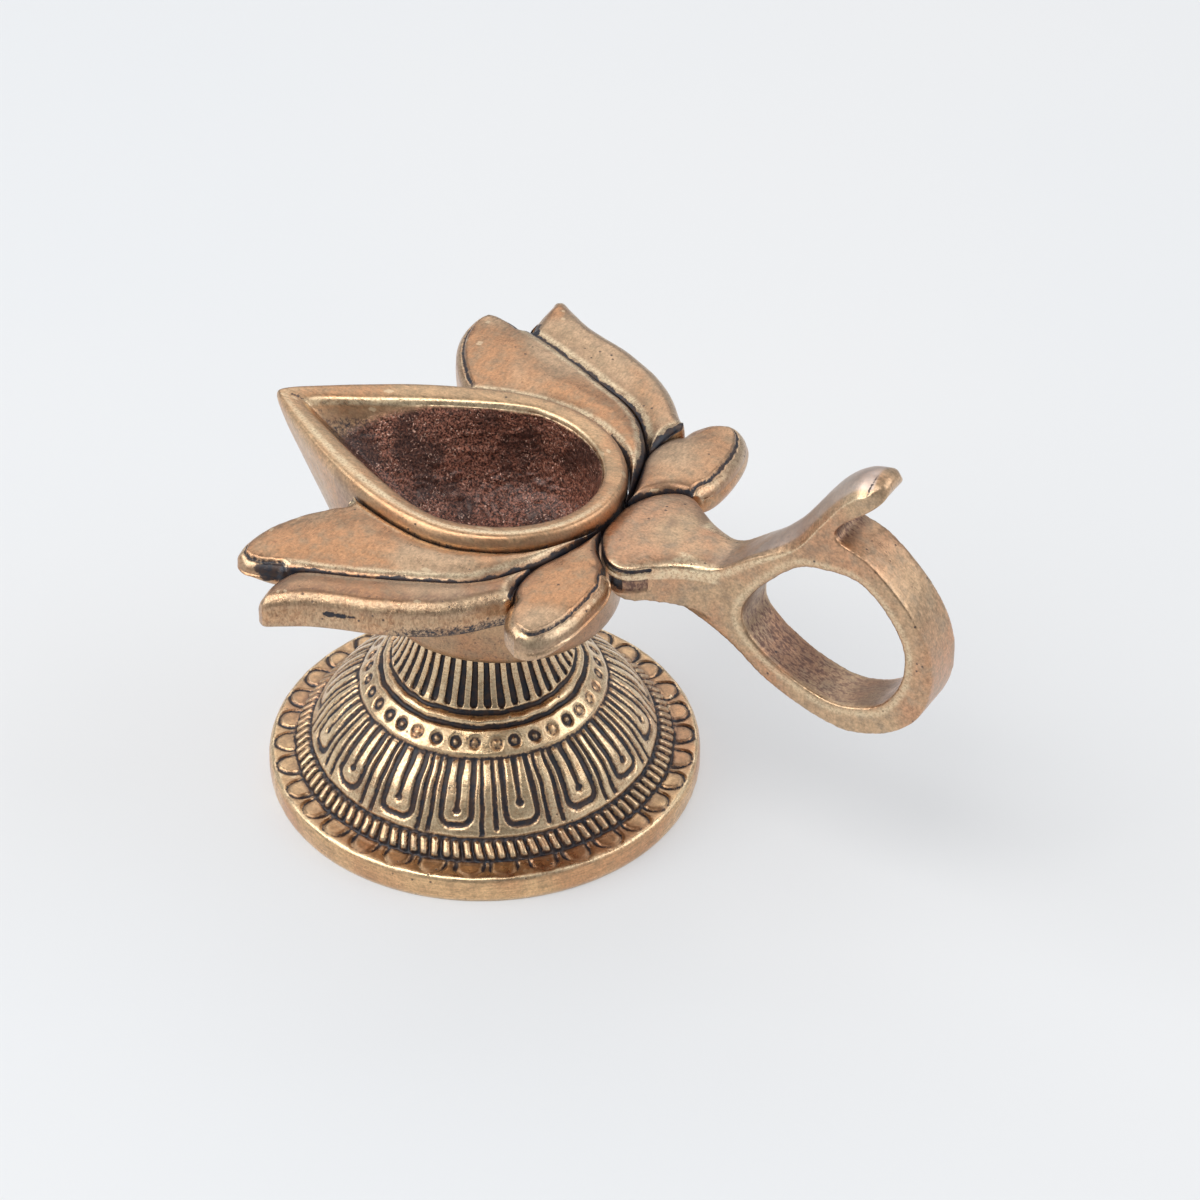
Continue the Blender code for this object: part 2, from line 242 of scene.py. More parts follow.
def aged_brass(name, gold, copper, olive, brush, roughness, edge_wear=0.5, gritty=False):
    """Antique brass: patches of three tones with brush marks and casting pits. The piece's attributes say
    where it has patina in its grooves, with painted shade in some hollows and seams, tarnish mixed with
    painted shade, worn edges and painted highlights, a polish that is partly a painted reflection, coarse
    brushing and sand-cast grit. brush squeezes the fine scratches along each axis."""
    material = bpy.data.materials.new(name)
    g = Graph(material)
    place = g.place()
    patches = g.noise(place, 0.055, 2.0, 0.5, 0.4)
    mottle = g.noise(place, 0.42, 4.0, 0.6)
    fine = g.noise(place, 2.4, 3.0, 0.6)
    scratches = g.noise(g.stretched(place, brush), 1.0, 3.0, 0.65)
    marks = g.noise(g.stretched(place, (1.7, 1.7, 0.75)), 1.0, 4.0, 0.75, 1.0)
    pointiness = g.node("NewGeometry").outputs["Pointiness"]
    polish_and_reflection = g.attribute("polish_and_reflection")
    brushed = g.attribute("brushed")

    metal = g.mix(g.spread(patches, 0.42, 0.6), gold, copper)
    metal = g.mix(g.spread(mottle, 0.42, 0.74, 0.0, 0.65), metal, olive)
    shade = g.plus(g.spread(fine, 0.3, 0.7, -0.18, 0.14), g.spread(scratches, 0.3, 0.7, -0.2, 0.15))
    shade = g.plus(shade, 1.0)
    metal = g.node("VectorMath", {0: metal, "Scale": shade}, operation="SCALE").outputs[0]

    # Tarnish, mixed with painted shade, darkens the metal in streaks
    streaks = g.spread(scratches, 0.35, 0.65, 0.3, 1.15)
    metal = g.mix(g.times(g.attribute("tarnish_and_shade"), streaks, clamp=True), metal, TARNISH_AND_SHADE_BROWN)
    # Worn edges turn pale, and so do the painted highlights that the wear attribute carries
    crumbs = g.times(g.spread(mottle, 0.3, 0.6, 0.5, 1.0), g.spread(fine, 0.36, 0.56, 0.35, 1.0))
    rubbed_and_highlit = g.times(g.attribute("wear_and_highlight"), crumbs)
    edges = g.times(g.spread(pointiness, 0.515, 0.56), edge_wear)
    metal = g.mix(g.larger(edges, rubbed_and_highlit), metal, g.mix(0.22, WORN_AND_HIGHLIT_BRASS, gold))
    # A grey polish, partly a painted reflection
    metal = g.mix(polish_and_reflection, metal, POLISH_AND_REFLECTION_GREY)
    marked = g.mix(g.spread(marks, 0.36, 0.62), BRUSHED_DARK, BRUSHED_LIGHT)
    metal = g.mix(g.times(brushed, 0.45), metal, marked)

    pits = g.node("TexVoronoi", {"Vector": place, "Scale": 0.55}).outputs["Distance"]
    pits = g.times(g.spread(pits, 0.16, 0.07), g.spread(g.noise(place, 0.16, 2.0), 0.5, 0.62))
    # Patina in grooves and hollows, with the painted shade that the patina attribute carries
    hollows = g.times(g.spread(pointiness, 0.485, 0.44), 0.7 * edge_wear)
    dirt_and_shade = g.plus(g.attribute("patina_and_shade"), hollows)
    dirt_and_shade = g.plus(dirt_and_shade, g.spread(g.noise(place, 1.7, 4.0, 0.75), 0.3, 0.7, -0.3, 0.3))
    dirt_and_shade = g.larger(g.spread(dirt_and_shade, 0.28, 0.8), g.times(pits, 0.8), clamp=True)
    dark = g.mix(g.spread(g.noise(place, 0.8, 3.0), 0.4, 0.6), PATINA_AND_SHADE_BLUE, PATINA_AND_SHADE_BROWN)
    colour = g.mix(dirt_and_shade, metal, dark)

    rough = g.spread(mottle, 0.3, 0.7, *roughness)
    rough = g.plus(rough, g.spread(scratches, 0.3, 0.7, -0.05, 0.06))
    rough = g.minus(rough, g.times(rubbed_and_highlit, 0.09))
    rough = g.plus(rough, g.times(polish_and_reflection, 0.12))
    rough = g.plus(rough, g.times(dirt_and_shade, 0.22), clamp=True)
    metallic = g.minus(1.0, g.times(dirt_and_shade, 0.45), clamp=True)

    height = g.plus(g.times(scratches, 0.5), g.times(fine, 0.6))
    height = g.minus(height, g.times(pits, 1.6))
    height = g.plus(height, g.times(g.times(marks, brushed), 2.6))
    if gritty:
        colour, rough, metallic, height = sand_cast(g, place, colour, rough, metallic, height)
    bump = g.node("Bump", {"Height": height, "Strength": 0.8, "Distance": BUMP_DISTANCE * MM})
    g.feed(g.tree.nodes["Principled BSDF"], {
        "Base Color": colour, "Roughness": rough, "Metallic": metallic, "Coat Weight": 0.6,
        "Coat Roughness": 0.38, "Normal": bump.outputs["Normal"]})
    return material


def sand_cast(g, place, colour, rough, metallic, height):
    """Turns a brass into the rough brown inside of the cup where the piece's grit attribute is high."""
    grit = g.attribute("grit")
    sand = g.noise(place, 2.6, 4.0, 0.75)
    lumps = g.node("TexVoronoi", {"Vector": place, "Scale": 1.7}).outputs["Distance"]
    brown = g.mix(g.spread(sand, 0.4, 0.64), SAND_DARK, SAND_LIGHT)
    brown = g.mix(g.spread(g.noise(place, 0.13, 3.0), 0.44, 0.62, 0.0, 0.7), brown, SAND_SOOT)
    # Painted glints: bright specks, in patches
    lit = g.spread(g.noise(place, 0.35, 3.0), 0.45, 0.65, 0.15, 1.0)
    glint = g.times(g.spread(g.noise(place, 2.7, 1.0), 0.62, 0.68), lit)
    colour = g.mix(grit, colour, g.mix(glint, brown, SAND_GLINT))
    rough = g.plus(g.times(rough, g.minus(1.0, grit)), g.times(g.spread(sand, 0.35, 0.7, 0.55, 0.34), grit))
    metallic = g.minus(metallic, g.times(grit, 0.3), clamp=True)
    rubble = g.minus(g.times(sand, 3.0), g.times(lumps, 1.2))
    height = g.plus(height, g.times(rubble, g.times(grit, 2.4)))
    return colour, rough, metallic, height


def plain_steel(name):
    material = bpy.data.materials.new(name)
    g = Graph(material)
    place = g.place()
    turning = g.noise(g.stretched(place, (0.4, 0.4, 6.0)), 1.0, 2.0)
    stain_and_shadow = g.noise(place, 0.5, 4.0, 0.65)
    colour = g.mix(g.spread(stain_and_shadow, 0.45, 0.7), (0.52, 0.53, 0.55), (0.28, 0.24, 0.2))
    bump = g.node("Bump", {"Height": turning, "Strength": 0.3, "Distance": 0.04 * MM})
    g.feed(g.tree.nodes["Principled BSDF"], {
        "Base Color": colour, "Roughness": g.spread(stain_and_shadow, 0.3, 0.7, 0.28, 0.5), "Metallic": 1.0,
        "Normal": bump.outputs["Normal"]})
    return material


def pale_floor(name):
    material = bpy.data.materials.new(name)
    g = Graph(material)
    place = g.place()
    cloud = g.noise(place, 0.004, 2.0)
    colour = g.mix(g.spread(cloud, 0.3, 0.7), (0.49, 0.495, 0.50), (0.47, 0.485, 0.50))
    g.feed(g.tree.nodes["Principled BSDF"], {
        "Base Color": colour, "Roughness": 0.75, "Specular IOR Level": 0.1,
        "Emission Color": (0.98, 0.985, 1.0), "Emission Strength": 0.345})
    return material


# ---------------- foot

# Half profiles of the foot, as radius and height: its outside going up, its hollow coming down
FOOT_PROFILE = [
    (FOOT_RADIUS - 0.5, 0.0), (FOOT_RADIUS, 0.6), (FOOT_RADIUS, 4.3), (FOOT_RADIUS - 0.25, 4.85),
    (FOOT_RADIUS - 0.9, 5.15), (36.0, 5.05), (34.0, 4.95), (31.0, 7.2), (29.9, 9.1), (28.7, 11.4),
    (27.2, 13.7), (25.2, 15.9), (22.2, 18.4), (18.7, 21.9), (16.6, 23.4), (15.1, 25.6), (13.5, 28.5),
    (12.3, 31.6), (11.6, 35.0), (12.0, 37.0), (12.6, NECK_TOP_Z),
]
FOOT_HOLLOW = [
    (8.3, NECK_TOP_Z), (8.3, 35.4), (8.6, 30.4), (10.2, 26.0), (12.4, 22.4), (15.2, 19.6), (19.0, 17.2),
    (22.6, 14.2), (26.2, 10.0), (28.0, 6.6), (30.0, 4.2), (33.6, 2.0), (34.6, 0.0),
]
FOOT_COLUMNS = 800
# Stretches of the outside, in millimetres up its surface, and how many rings of points each one has
FOOT_STRETCHES = [(0.0, 5.3, 8), (5.3, 9.9, 15), (9.9, 15.4, 17), (15.4, 20.2, 14), (20.2, 27.0, 9),
                  (27.0, 32.0, 15), (32.0, 37.2, 20)]
NECK_RINGS = 9

# Engraving: how many of each motif, and its sizes. A run is in millimetres up the surface, a turn in
# degrees round it.
SCALLOPS, ROPE_BEADS, LEAVES, DOTS, FLUTES = 34, 106, 16, 36, 40
SCALLOP_RUN, SCALLOP_RADIUS, SCALLOP_TOP_RUN = 8.25, 2.35, 9.66
ROPE_RUN, ROPE_HALF_WIDTH, ROPE_TOP_RUN = 11.55, 1.8, 13.45
LEAF_HALF_TURN, LEAF_CORNER, BAR_TURN = 5.5, 1.9, 9.0
LEAF_FOOT_RUN, LEAF_DOT_RUN, BAR_FOOT_RUN, LEAF_TOP_RUN = 15.6, 18.8, 13.7, 27.4
DOT_RUN, DOT_RADIUS = 30.0, 0.82
LOWER_GROOVE_RUN, RIDGE_RUN, UPPER_GROOVE_RUN = 32.85, 34.0, 35.2
FLUTE_RUN, FLUTE_HALF_TURN = 36.2, 2.45
LINE_DEPTH = 0.42
RIM_EDGE_RUN = 5.5


def repeated(angle, count, jitter, seed):
    """For a motif repeated round the foot: the angle from its middle, and which one it is."""
    pitch = 360 / count
    which = np.floor(angle / pitch).astype(int) % count
    offsets = np.random.default_rng(seed).uniform(-jitter, jitter, count)
    return (angle % pitch) - pitch / 2 - offsets[which], which


def scallops(angle, run, to_mm, wobble):
    """A row of tongues round the foot's edge, worn faint where it faces the camera."""
    turn, _ = repeated(angle, SCALLOPS, 0.5, 1)
    across = turn * to_mm
    reach = np.where(run > SCALLOP_RUN, np.abs(across), np.hypot(across, run - SCALLOP_RUN))
    outline = reach - SCALLOP_RADIUS
    facing = np.clip(np.cos(np.radians(angle - PATTERN_TURN)) * 0.75, 0, 1)
    in_band = ramp(5.5, 6.0, run) * (1 - ramp(9.3, 9.5, run))
    cut = stroke(outline, 0.30 + 0.14 * wobble) * in_band * (1 - facing * ramp(8.6, 6.6, run))
    raised = 0.18 * ramp(0.1, -0.9, outline) * (run > 5.6) * (run < 9.4)
    return np.maximum(cut, stroke(run - SCALLOP_TOP_RUN, 0.3)), raised


def rope(angle, run, wobble):
    """A band of small slanting beads, with a line above it."""
    turn, _ = repeated(angle + 0.35 * (run - 11.5), ROPE_BEADS, 0.22, 2)
    pitch = 360 / ROPE_BEADS
    bead = np.clip(1 - (2.35 * turn / pitch) ** 2, 0, 1)
    bead = bead * np.clip(1 - ((run - ROPE_RUN) / ROPE_HALF_WIDTH) ** 4, 0, 1)
    in_band = ramp(9.75, 9.95, run) * (1 - ramp(13.2, 13.4, run))
    cut = in_band * (1 - ramp(0.15, 0.75, bead))
    return np.maximum(cut, 0.9 * stroke(run - ROPE_TOP_RUN, 0.28 + 0.12 * wobble)), 0.6 * np.sqrt(bead)


def leaves(angle, run, to_mm, wobble, chance):
    """Upright leaves with round corners, each with a stem that ends in a dot, and bars between them."""
    turn, which = repeated(angle, LEAVES, 0.45, 3)
    across = turn * to_mm
    half_width = (LEAF_HALF_TURN + chance.uniform(-0.3, 0.3, LEAVES))[which] * to_mm
    foot_run = (LEAF_FOOT_RUN + chance.uniform(-0.35, 0.35, LEAVES))[which]
    beside = np.abs(across) - (half_width - LEAF_CORNER)
    below = foot_run + LEAF_CORNER - run
    outline = np.hypot(np.maximum(beside, 0), np.maximum(below, 0)) + np.minimum(np.maximum(beside, below), 0)
    leaf = stroke(outline - LEAF_CORNER, 0.53)
    dot_run = (LEAF_DOT_RUN + chance.uniform(-0.5, 0.7, LEAVES))[which]
    stem = stroke(across, 0.33 + 0.03 * (run - dot_run)) * (run > dot_run)
    dot = 1 - ramp(0.55, 0.85, np.hypot(across, run - dot_run))
    bar_foot = (BAR_FOOT_RUN + chance.uniform(0.0, 1.0, LEAVES))[which]
    bar = stroke(np.abs(turn) - BAR_TURN, 0.85, 0.35) * ramp(-0.2, 0.2, run - bar_foot)
    in_band = ramp(13.6, 13.9, run) * (1 - ramp(27.3, 27.5, run))
    cut = np.maximum.reduce([leaf, stem, dot, bar]) * in_band
    return np.maximum(cut, 0.9 * stroke(run - LEAF_TOP_RUN, 0.26 + 0.1 * wobble))


def dots(angle, run, to_mm, chance):
    """A row of small punched rings, some of them faint."""
    turn, which = repeated(angle - 1.35, DOTS, 0.5, 4)
    strength = np.clip(chance.uniform(0.45, 1.3, DOTS), 0, 1)[which]
    away = np.hypot(turn * to_mm, run - DOT_RUN)
    mark = stroke(away - DOT_RADIUS, 0.32, 0.2) + 0.3 * (1 - ramp(0.3, 0.7, away))
    return np.clip(mark, 0, 1) * strength


def flutes(angle, run):
    """Upright hollows round the neck, round at the bottom and narrower towards the top."""
    turn, _ = repeated(angle - 1.1, FLUTES, 0.35, 5)
    half_turn = FLUTE_HALF_TURN - 0.6 * np.clip((run - FLUTE_RUN) / 10, 0, 1)
    end = np.clip((36.9 - run) / 0.9, 0, 1)
    flute = 1 - ramp(-0.55, 0.45, np.hypot(turn, 2.0 * end) - half_turn)
    return flute * ramp(35.6, FLUTE_RUN, run)


def engraving(angle, run, radius, wobble):
    """How deep each point of the foot is engraved, from 0 to 1 or a little more, and how far its beads
    stand out. angle is in degrees round the foot, run in millimetres up its surface from the floor."""
    to_mm = radius * math.pi / 180
    chance = np.random.default_rng(11)
    run = run + 0.16 * wobble
    scallop_cut, scallop_rise = scallops(angle, run, to_mm, wobble)
    rope_cut, rope_rise = rope(angle, run, wobble)
    leaf_cut = leaves(angle, run, to_mm, wobble, chance)
    dot_cut = dots(angle, run, to_mm, chance)
    lower_groove = 1.25 * stroke(run - LOWER_GROOVE_RUN, 0.45, 0.2)
    upper_groove = 1.15 * stroke(run - UPPER_GROOVE_RUN, 0.42, 0.2)
    cut = np.maximum.reduce([scallop_cut, rope_cut, leaf_cut, dot_cut, lower_groove, upper_groove,
                             1.5 * flutes(angle, run)])
    return cut, scallop_rise + rope_rise + 0.25 * stroke(run - RIDGE_RUN, 0.5, 0.3)


def turned(profile, ray):
    """Rings of points: a half profile of radius and height, turned round the foot's axis."""
    radius, height = profile[:, :1], profile[:, 1:]
    return np.stack([radius * ray[:, 0], radius * ray[:, 1], height + 0 * ray[:, 0]], -1)


def build_foot(material):
    corners = np.array(FOOT_PROFILE)
    runs = np.concatenate([[0], np.cumsum(np.linalg.norm(np.diff(corners, axis=0), axis=1))])
    stretches = [*FOOT_STRETCHES, (FOOT_STRETCHES[-1][1], runs[-1], NECK_RINGS)]
    run = np.concatenate([np.linspace(a, b, n, endpoint=False) for a, b, n in stretches] + [[runs[-1]]])
    profile = np.stack([np.interp(run, runs, corners[:, 0]), np.interp(run, runs, corners[:, 1])], -1)
    for _ in range(2):
        profile[1:-1] = (profile[:-2] + 2 * profile[1:-1] + profile[2:]) / 4
    slope = np.gradient(profile, axis=0)
    outward = np.stack([slope[:, 1], -slope[:, 0]], -1) / np.hypot(slope[:, 0], slope[:, 1])[:, None]

    turn = np.linspace(0, 2 * math.pi, FOOT_COLUMNS, endpoint=False)
    ray = np.stack([np.cos(turn), np.sin(turn)], -1)
    base = turned(profile, ray)
    wobble = smooth_noise(base, 2.6) * 1.6
    angle = np.degrees(turn - PATTERN_ZERO)[None, :] + 0.55 * smooth_noise(base, 3.4, 7.3)
    run = np.broadcast_to(run[:, None], angle.shape)
    cut, raised = engraving(angle % 360, run, profile[:, :1], wobble)
    push = raised - LINE_DEPTH * cut + 0.05 * wobble
    push[0] = 0.0
    surface = base + push[..., None] * turned(outward, ray)
    hollow = turned(np.array(FOOT_HOLLOW), ray)
    rings = np.concatenate([surface, hollow])

    # Tarnish mixed with painted shade spreads a little way out of the grooves
    shade = np.clip(cut, 0, 1)
    for _ in range(5):
        shade = (shade + np.roll(shade, 1, 1) + np.roll(shade, -1, 1)) / 3
        shade[1:-1] = (shade[:-2] + shade[1:-1] + shade[2:]) / 3
    shade = shade * (1.0 + 0.8 * smooth_noise(base, 5.0, 2.7))
    shade = shade * (1.1 - 0.6 * ramp(33.0, 36.0, run)) - 0.08
    shade = shade + 0.25 * stroke(run - 11.5, 1.6, 0.4)
    shade = shade + 0.3 * ramp(5.6, 6.4, run) * ramp(10.2, 9.4, run)
    edge = stroke(run - RIM_EDGE_RUN, 0.3, 0.3)
    high = ramp(0.25, 0.0, cut) * ramp(12.5, 14.0, run) * 0.8
    inside = np.ones(hollow.shape[:2])
    weathering_and_painted_light = {"patina_and_shade": np.concatenate([np.clip(cut, 0, 1), 0.5 * inside]),
                  "wear_and_highlight": np.concatenate([np.maximum(high, edge), 0 * inside]),
                  "tarnish_and_shade": np.concatenate([np.clip(shade, 0, 0.75), 0.6 * inside])}

    faces = ring_faces(len(rings), FOOT_COLUMNS, capped=False)
    column = np.arange(FOOT_COLUMNS)
    after = (column + 1) % FOOT_COLUMNS
    last = (len(rings) - 1) * FOOT_COLUMNS
    faces += np.stack([last + column, last + after, after, column], -1).tolist()
    make_piece("foot", rings.reshape(-1, 3), faces, weathering_and_painted_light, "pedestal", material)


# ---------------- oil cup

# Rings of the cup's drop-shaped section: height, centre x, reach to the spout, reach to the back,
# half width, bulge of the flanks
CUP_OUTSIDE = [
    (CUP_BOTTOM_Z, 3.0, 14.0, 12.0, 12.0, 2.0),
    (CUP_BOTTOM_Z, 3.0, 27.0, 18.6, 17.6, 1.85),
    (CUP_BOTTOM_Z + 0.25, 3.0, 29.2, 20.5, 19.5, 1.8),
    (CUP_BOTTOM_Z + 1.3, 3.0, 30.9, 21.6, 20.6, 1.8),
    (46.0, 3.0, 33.4, 22.2, 21.0, 1.8),
    (52.9, 3.0, 37.4, 22.6, 21.2, 1.75),
    (59.6, 3.0, 41.2, 22.7, 21.3, 1.7),
    (62.6, 3.0, 42.6, 22.7, 21.4, 1.7),
    (64.2, 3.0, 43.2, 22.8, 21.4, 1.7),
]
CUP_RIM = [
    (65.2, 3.0, 43.4, 22.6, 21.0, 1.7),
    (RIM_Z - 0.3, 3.0, 43.1, 22.2, 20.45, 1.7),
    (RIM_Z, 2.95, 42.4, 21.7, 19.8, 1.66),
    (RIM_Z - 0.05, 2.5, 40.2, 20.9, 18.7, 1.52),
    (RIM_Z - 0.25, 2.1, 38.0, 20.3, 17.8, 1.42),
    (RIM_Z - 0.6, 1.8, 36.7, 20.1, 17.35, 1.36),
    (RIM_Z - 1.3, 1.6, 35.5, 20.0, 17.1, 1.32),
]
CUP_INSIDE = [
    (63.5, 1.5, 33.2, 19.8, 16.9, 1.3),
    (61.0, 1.5, 29.4, 19.5, 16.5, 1.34),
    (57.0, 2.4, 24.5, 17.8, 15.9, 1.5),
    (52.0, 3.5, 19.5, 14.8, 13.8, 1.8),
    (48.8, 4.0, 14.5, 10.6, 9.8, 2.0),
    (47.6, 4.0, 9.0, 7.0, 6.4, 2.0),
    (47.3, 4.0, 3.0, 2.6, 2.4, 2.0),
]
CUP_COLUMNS = 400
OUTSIDE_RINGS, RIM_RINGS, INSIDE_RINGS = 46, 25, 139


def drop_ring(shape, turn):
    """Points of a drop-shaped ring: half an ellipse behind the centre, a pointed nose before it."""
    height, centre, front, back, half_width, bulge = shape
    reach, side = np.cos(turn), np.sin(turn)
    nose = np.clip(-reach, 0, 1)
    x = centre + np.where(reach >= 0, back, front) * reach
    y = half_width * np.where(reach >= 0, side, np.sign(side) * (1 - nose ** bulge))
    y = y + 3.0 * side * nose ** 9
    return np.stack([x, y, np.full_like(x, height)], -1)


def build_cup(material):
    turn = np.linspace(0, 2 * math.pi, CUP_COLUMNS, endpoint=False)
    shapes = np.vstack([catmull_rom(CUP_OUTSIDE, OUTSIDE_RINGS),
                        catmull_rom([CUP_OUTSIDE[-1], *CUP_RIM], RIM_RINGS + 1)[1:],
                        catmull_rom([CUP_RIM[-1], *CUP_INSIDE], INSIDE_RINGS + 1)[1:]])
    rings = np.array([drop_ring(shape, turn) for shape in shapes])
    row = np.arange(len(rings))[:, None] - OUTSIDE_RINGS
    inside = row >= RIM_RINGS
    outside = ~inside
    x, y, z = rings[..., 0], rings[..., 1], rings[..., 2]

    # The inside is sand-cast and grainy from a little below the rim, further down towards the spout
    lumps = smooth_noise(rings, 7.0, 3.1)
    grains = np.abs(smooth_noise(rings, 1.6, 5.7)) * 1.2
    start = 0.9 + 5.0 * ramp(-19.0, -32.0, x) + 0.4 * lumps
    blend = 0.9 + 1.6 * ramp(-12.0, -24.0, x)
    grit = inside * ramp(start, start + blend, RIM_Z - z)
    across = np.stack([np.gradient(x, axis=1), np.gradient(y, axis=1)], -1)
    across /= np.maximum(np.linalg.norm(across, axis=-1, keepdims=True), 1e-9)
    inward = np.stack([-across[..., 1], across[..., 0]], -1)
    depth = 0.3 * grains * grit + 0.12 * lumps * inside
    rings[..., :2] += inward * depth[..., None]
    rings[..., 2] += 0.3 * grains * grit * (z < 54)
    rings[..., 2] += 0.10 * lumps * (z > 60) * outside

    # Patina and painted shade in the seam above the petals, a darkening towards the bottom of the cup's
    # outside, patina in the spout, and painted highlights along the rim
    crumbs = smooth_noise(rings, 0.9, 1.4)
    seam_shadow = ramp(64.3 + 0.8 * crumbs, 63.6 + 0.5 * crumbs, z) * (x > -14.5)
    seam_shadow = seam_shadow * outside * ramp(59.0, 62.0, z)
    keel = ramp(56, 44, z) * outside * 0.25
    notch = inside * ramp(-28, -36, x) * ramp(64.9, 64.0, z) * 0.7
    crease = stroke(y, 0.4, 0.35) * ramp(-31.0, -37.0, x) * (row > 12) * 0.6
    channel = inside * ramp(-20.0, -26.0, x) * ramp(64.2, 62.0, z) * 0.55
    patina_and_shade = np.clip(0.85 * seam_shadow + keel + np.maximum.reduce([notch, crease, channel]), 0, 1)
    # Painted highlights on the rim: along its outer crest at the front and its inner lip at the back
    crest = stroke(row - 9.0, 2.2, 1.6) * outside
    lip = stroke(row - 22.5, 2.6, 1.2)
    wear_and_highlight = np.clip(crest * ramp(6, -10, y) + lip * ramp(-8, 6, y), 0, 1)
    # Tarnish mixed with painted shade: darker below the rim's outer slope and towards the bottom outside, and
    # a little way down from the rim inside
    smudge = smooth_noise(rings, 2.4, 8.1)
    under_rim = 0.55 * ramp(66.2, 64.2, z + 0.5 * smudge) * (x > -20) * (z > 58)
    tarnish_and_shade = outside * np.clip(under_rim + 0.35 * ramp(62.0, 48.0, z), 0, 1)
    tarnish_and_shade = tarnish_and_shade + inside * 0.5 * ramp(0.6, 3.5, RIM_Z - z + smudge)
    weathering_and_painted_light = {"patina_and_shade": patina_and_shade, "grit": grit, "wear_and_highlight": wear_and_highlight, "tarnish_and_shade": tarnish_and_shade}
    make_piece("oil_cup", rings.reshape(-1, 3), ring_faces(len(rings), CUP_COLUMNS), weathering_and_painted_light,
               "lotus_bowl", material)


# ---------------- petals

# A petal is rows of points from root to tip. Each row has its top, a side, the underside and a side.
PETAL_ROWS, PETAL_TOP, PETAL_SIDE, PETAL_UNDER = 170, 58, 14, 12
TOP = slice(0, PETAL_TOP)
OUTER_WALL = slice(PETAL_TOP, PETAL_TOP + PETAL_SIDE)
UNDERSIDE = slice(PETAL_TOP + PETAL_SIDE, PETAL_TOP + PETAL_SIDE + PETAL_UNDER)

# Plan outlines of the three back petals, from their roots to their tips
INNER_SEAM = [(25.75, 5.1), (24.85, 8.4), (23.7, 12.5), (22.1, 17.6), (20.0, 21.2), (16.6, 25.5),
              (12.6, 28.6), (7.0, 31.2), (0.0, 34.2), (-8.0, 37.2), (-13.5, 38.9)]
INNER_FREE = [(-14.4, 19.2), (-16.2, 20.8), (-19.0, 24.1), (-21.7, 28.4), (-23.3, 32.8), (-23.7, 36.4),
              (-22.9, 39.3)]
INNER_TIP = [(-14.8, 39.4), (-17.4, 40.4), (-20.2, 40.9), (-22.2, 40.2), (-22.85, 39.4)]
OUTER_FREE = [(22.5, 19.2), (22.7, 22.6), (24.1, 26.4), (22.0, 29.1), (17.9, 33.6), (13.2, 37.2), (6.0, 40.8),
              (-0.6, 42.9), (-5.4, 44.7), (-9.6, 47.0), (-12.0, 48.3), (-13.4, 47.6)]
OUTER_TIP = [(-13.4, 39.4), (-13.9, 41.4), (-14.1, 44.4), (-13.5, 47.5)]
SMALL_ROOT = [(26.05, 4.6), (25.8, 6.4), (25.2, 8.5), (24.1, 12.4), (22.5, 17.8), (22.9, 22.4), (24.4, 26.3)]
SMALL_FREE = [(24.4, 26.3), (24.9, 29.2), (26.6, 32.2), (29.3, 34.0)]
SMALL_OUTER = [(26.2, 4.6), (26.6, 5.9), (27.9, 8.5), (30.5, 11.4), (33.6, 12.6), (35.4, 13.6),
               (36.4, 16.4), (36.6, 21.2), (35.9, 27.0), (34.2, 31.6), (32.0, 33.9), (29.4, 34.1)]
OUTER_SIDE = catmull_rom(OUTER_FREE[2:], 60)
TIP_LINE = catmull_rom(OUTER_TIP, 12)
SEAM_GAP = 0.3
WALL_POINTS = 70
# A line engraved inside a petal's free edge: how far inside, and the two x between which it fades in
ENGRAVED_LINES = {"inner": (1.3, -11.0, -15.0), "small": (1.75, 25.0, 30.0)}
# How much the top of a petal falls towards its tip
TIP_DROP = {"inner": 0.0, "outer": 0.0, "small": 1.1}
# A petal's underside: its height at the root, its rise, its lift near the tip and where the lift starts
UNDERSIDES = {
    ("inner", "back"): (58.3, 0.5, 2.6, 0.78), ("inner", "front"): (58.3, 0.5, 2.6, 0.78),
    ("outer", "back"): (58.3, 0.0, 0.0, 0.5), ("outer", "front"): (58.3, 0.0, 0.0, 0.5),
    ("small", "back"): (58.8, -0.4, 0.0, 0.5), ("small", "front"): (61.3, 0.0, -2.9, 0.45),
}
# The hollow between the tips of the inner and the outer petal, darkened with painted shade, in plan, and its
# height on each side
HOLLOW_AT = (-14.8, 39.9)
HOLLOW_Z = {"front": 62.2, "back": 63.4}


def cup_wall(first, last, gap):
    """The cup's wall in plan, from one angle to another. 0 is towards the handle, 180 is the spout."""
    shape = (0, 3.0, 43.1 + gap, 22.8 + gap, 21.4 + gap, 1.7)
    return drop_ring(shape, np.radians(np.linspace(first, last, WALL_POINTS)))[:, :2]


def shoulder(distance, reach, fall):
    """How far a rounded edge has fallen at a distance from it."""
    return fall * (1 - np.sqrt(1 - (1 - np.clip(distance / reach, 0, 1)) ** 2))


def petal_rings(top, inner_edge, span, low):
    """Closes each row of a petal's top with two slightly swollen side walls and a flat underside."""
    width = np.linalg.norm(span, axis=-1)[..., None]
    drop = np.linspace(0, 1, PETAL_SIDE + 2)[1:-1]
    swell = 0.35 * np.sin(math.pi * drop)[None, :, None] * span / np.maximum(width, 1e-6)
    swell *= np.clip(width / 4, 0, 1)

    def wall(edge, fall, push):
        height = edge[:, None, 2] + (low - edge[:, None, 2]) * fall
        return np.concatenate([edge[:, None, :2] + push, height[..., None]], -1)

    across = 0.02 + 0.96 * np.linspace(1, 0, PETAL_UNDER)[None, :, None]
    flat = np.concatenate([inner_edge + across * span,
                           np.broadcast_to(low[..., None], (PETAL_ROWS, PETAL_UNDER, 1))], -1)
    return np.concatenate([top, wall(top[:, -1], drop, swell), flat,
                           wall(top[:, 0], drop[::-1], -0.3 * swell[:, ::-1])], 1)


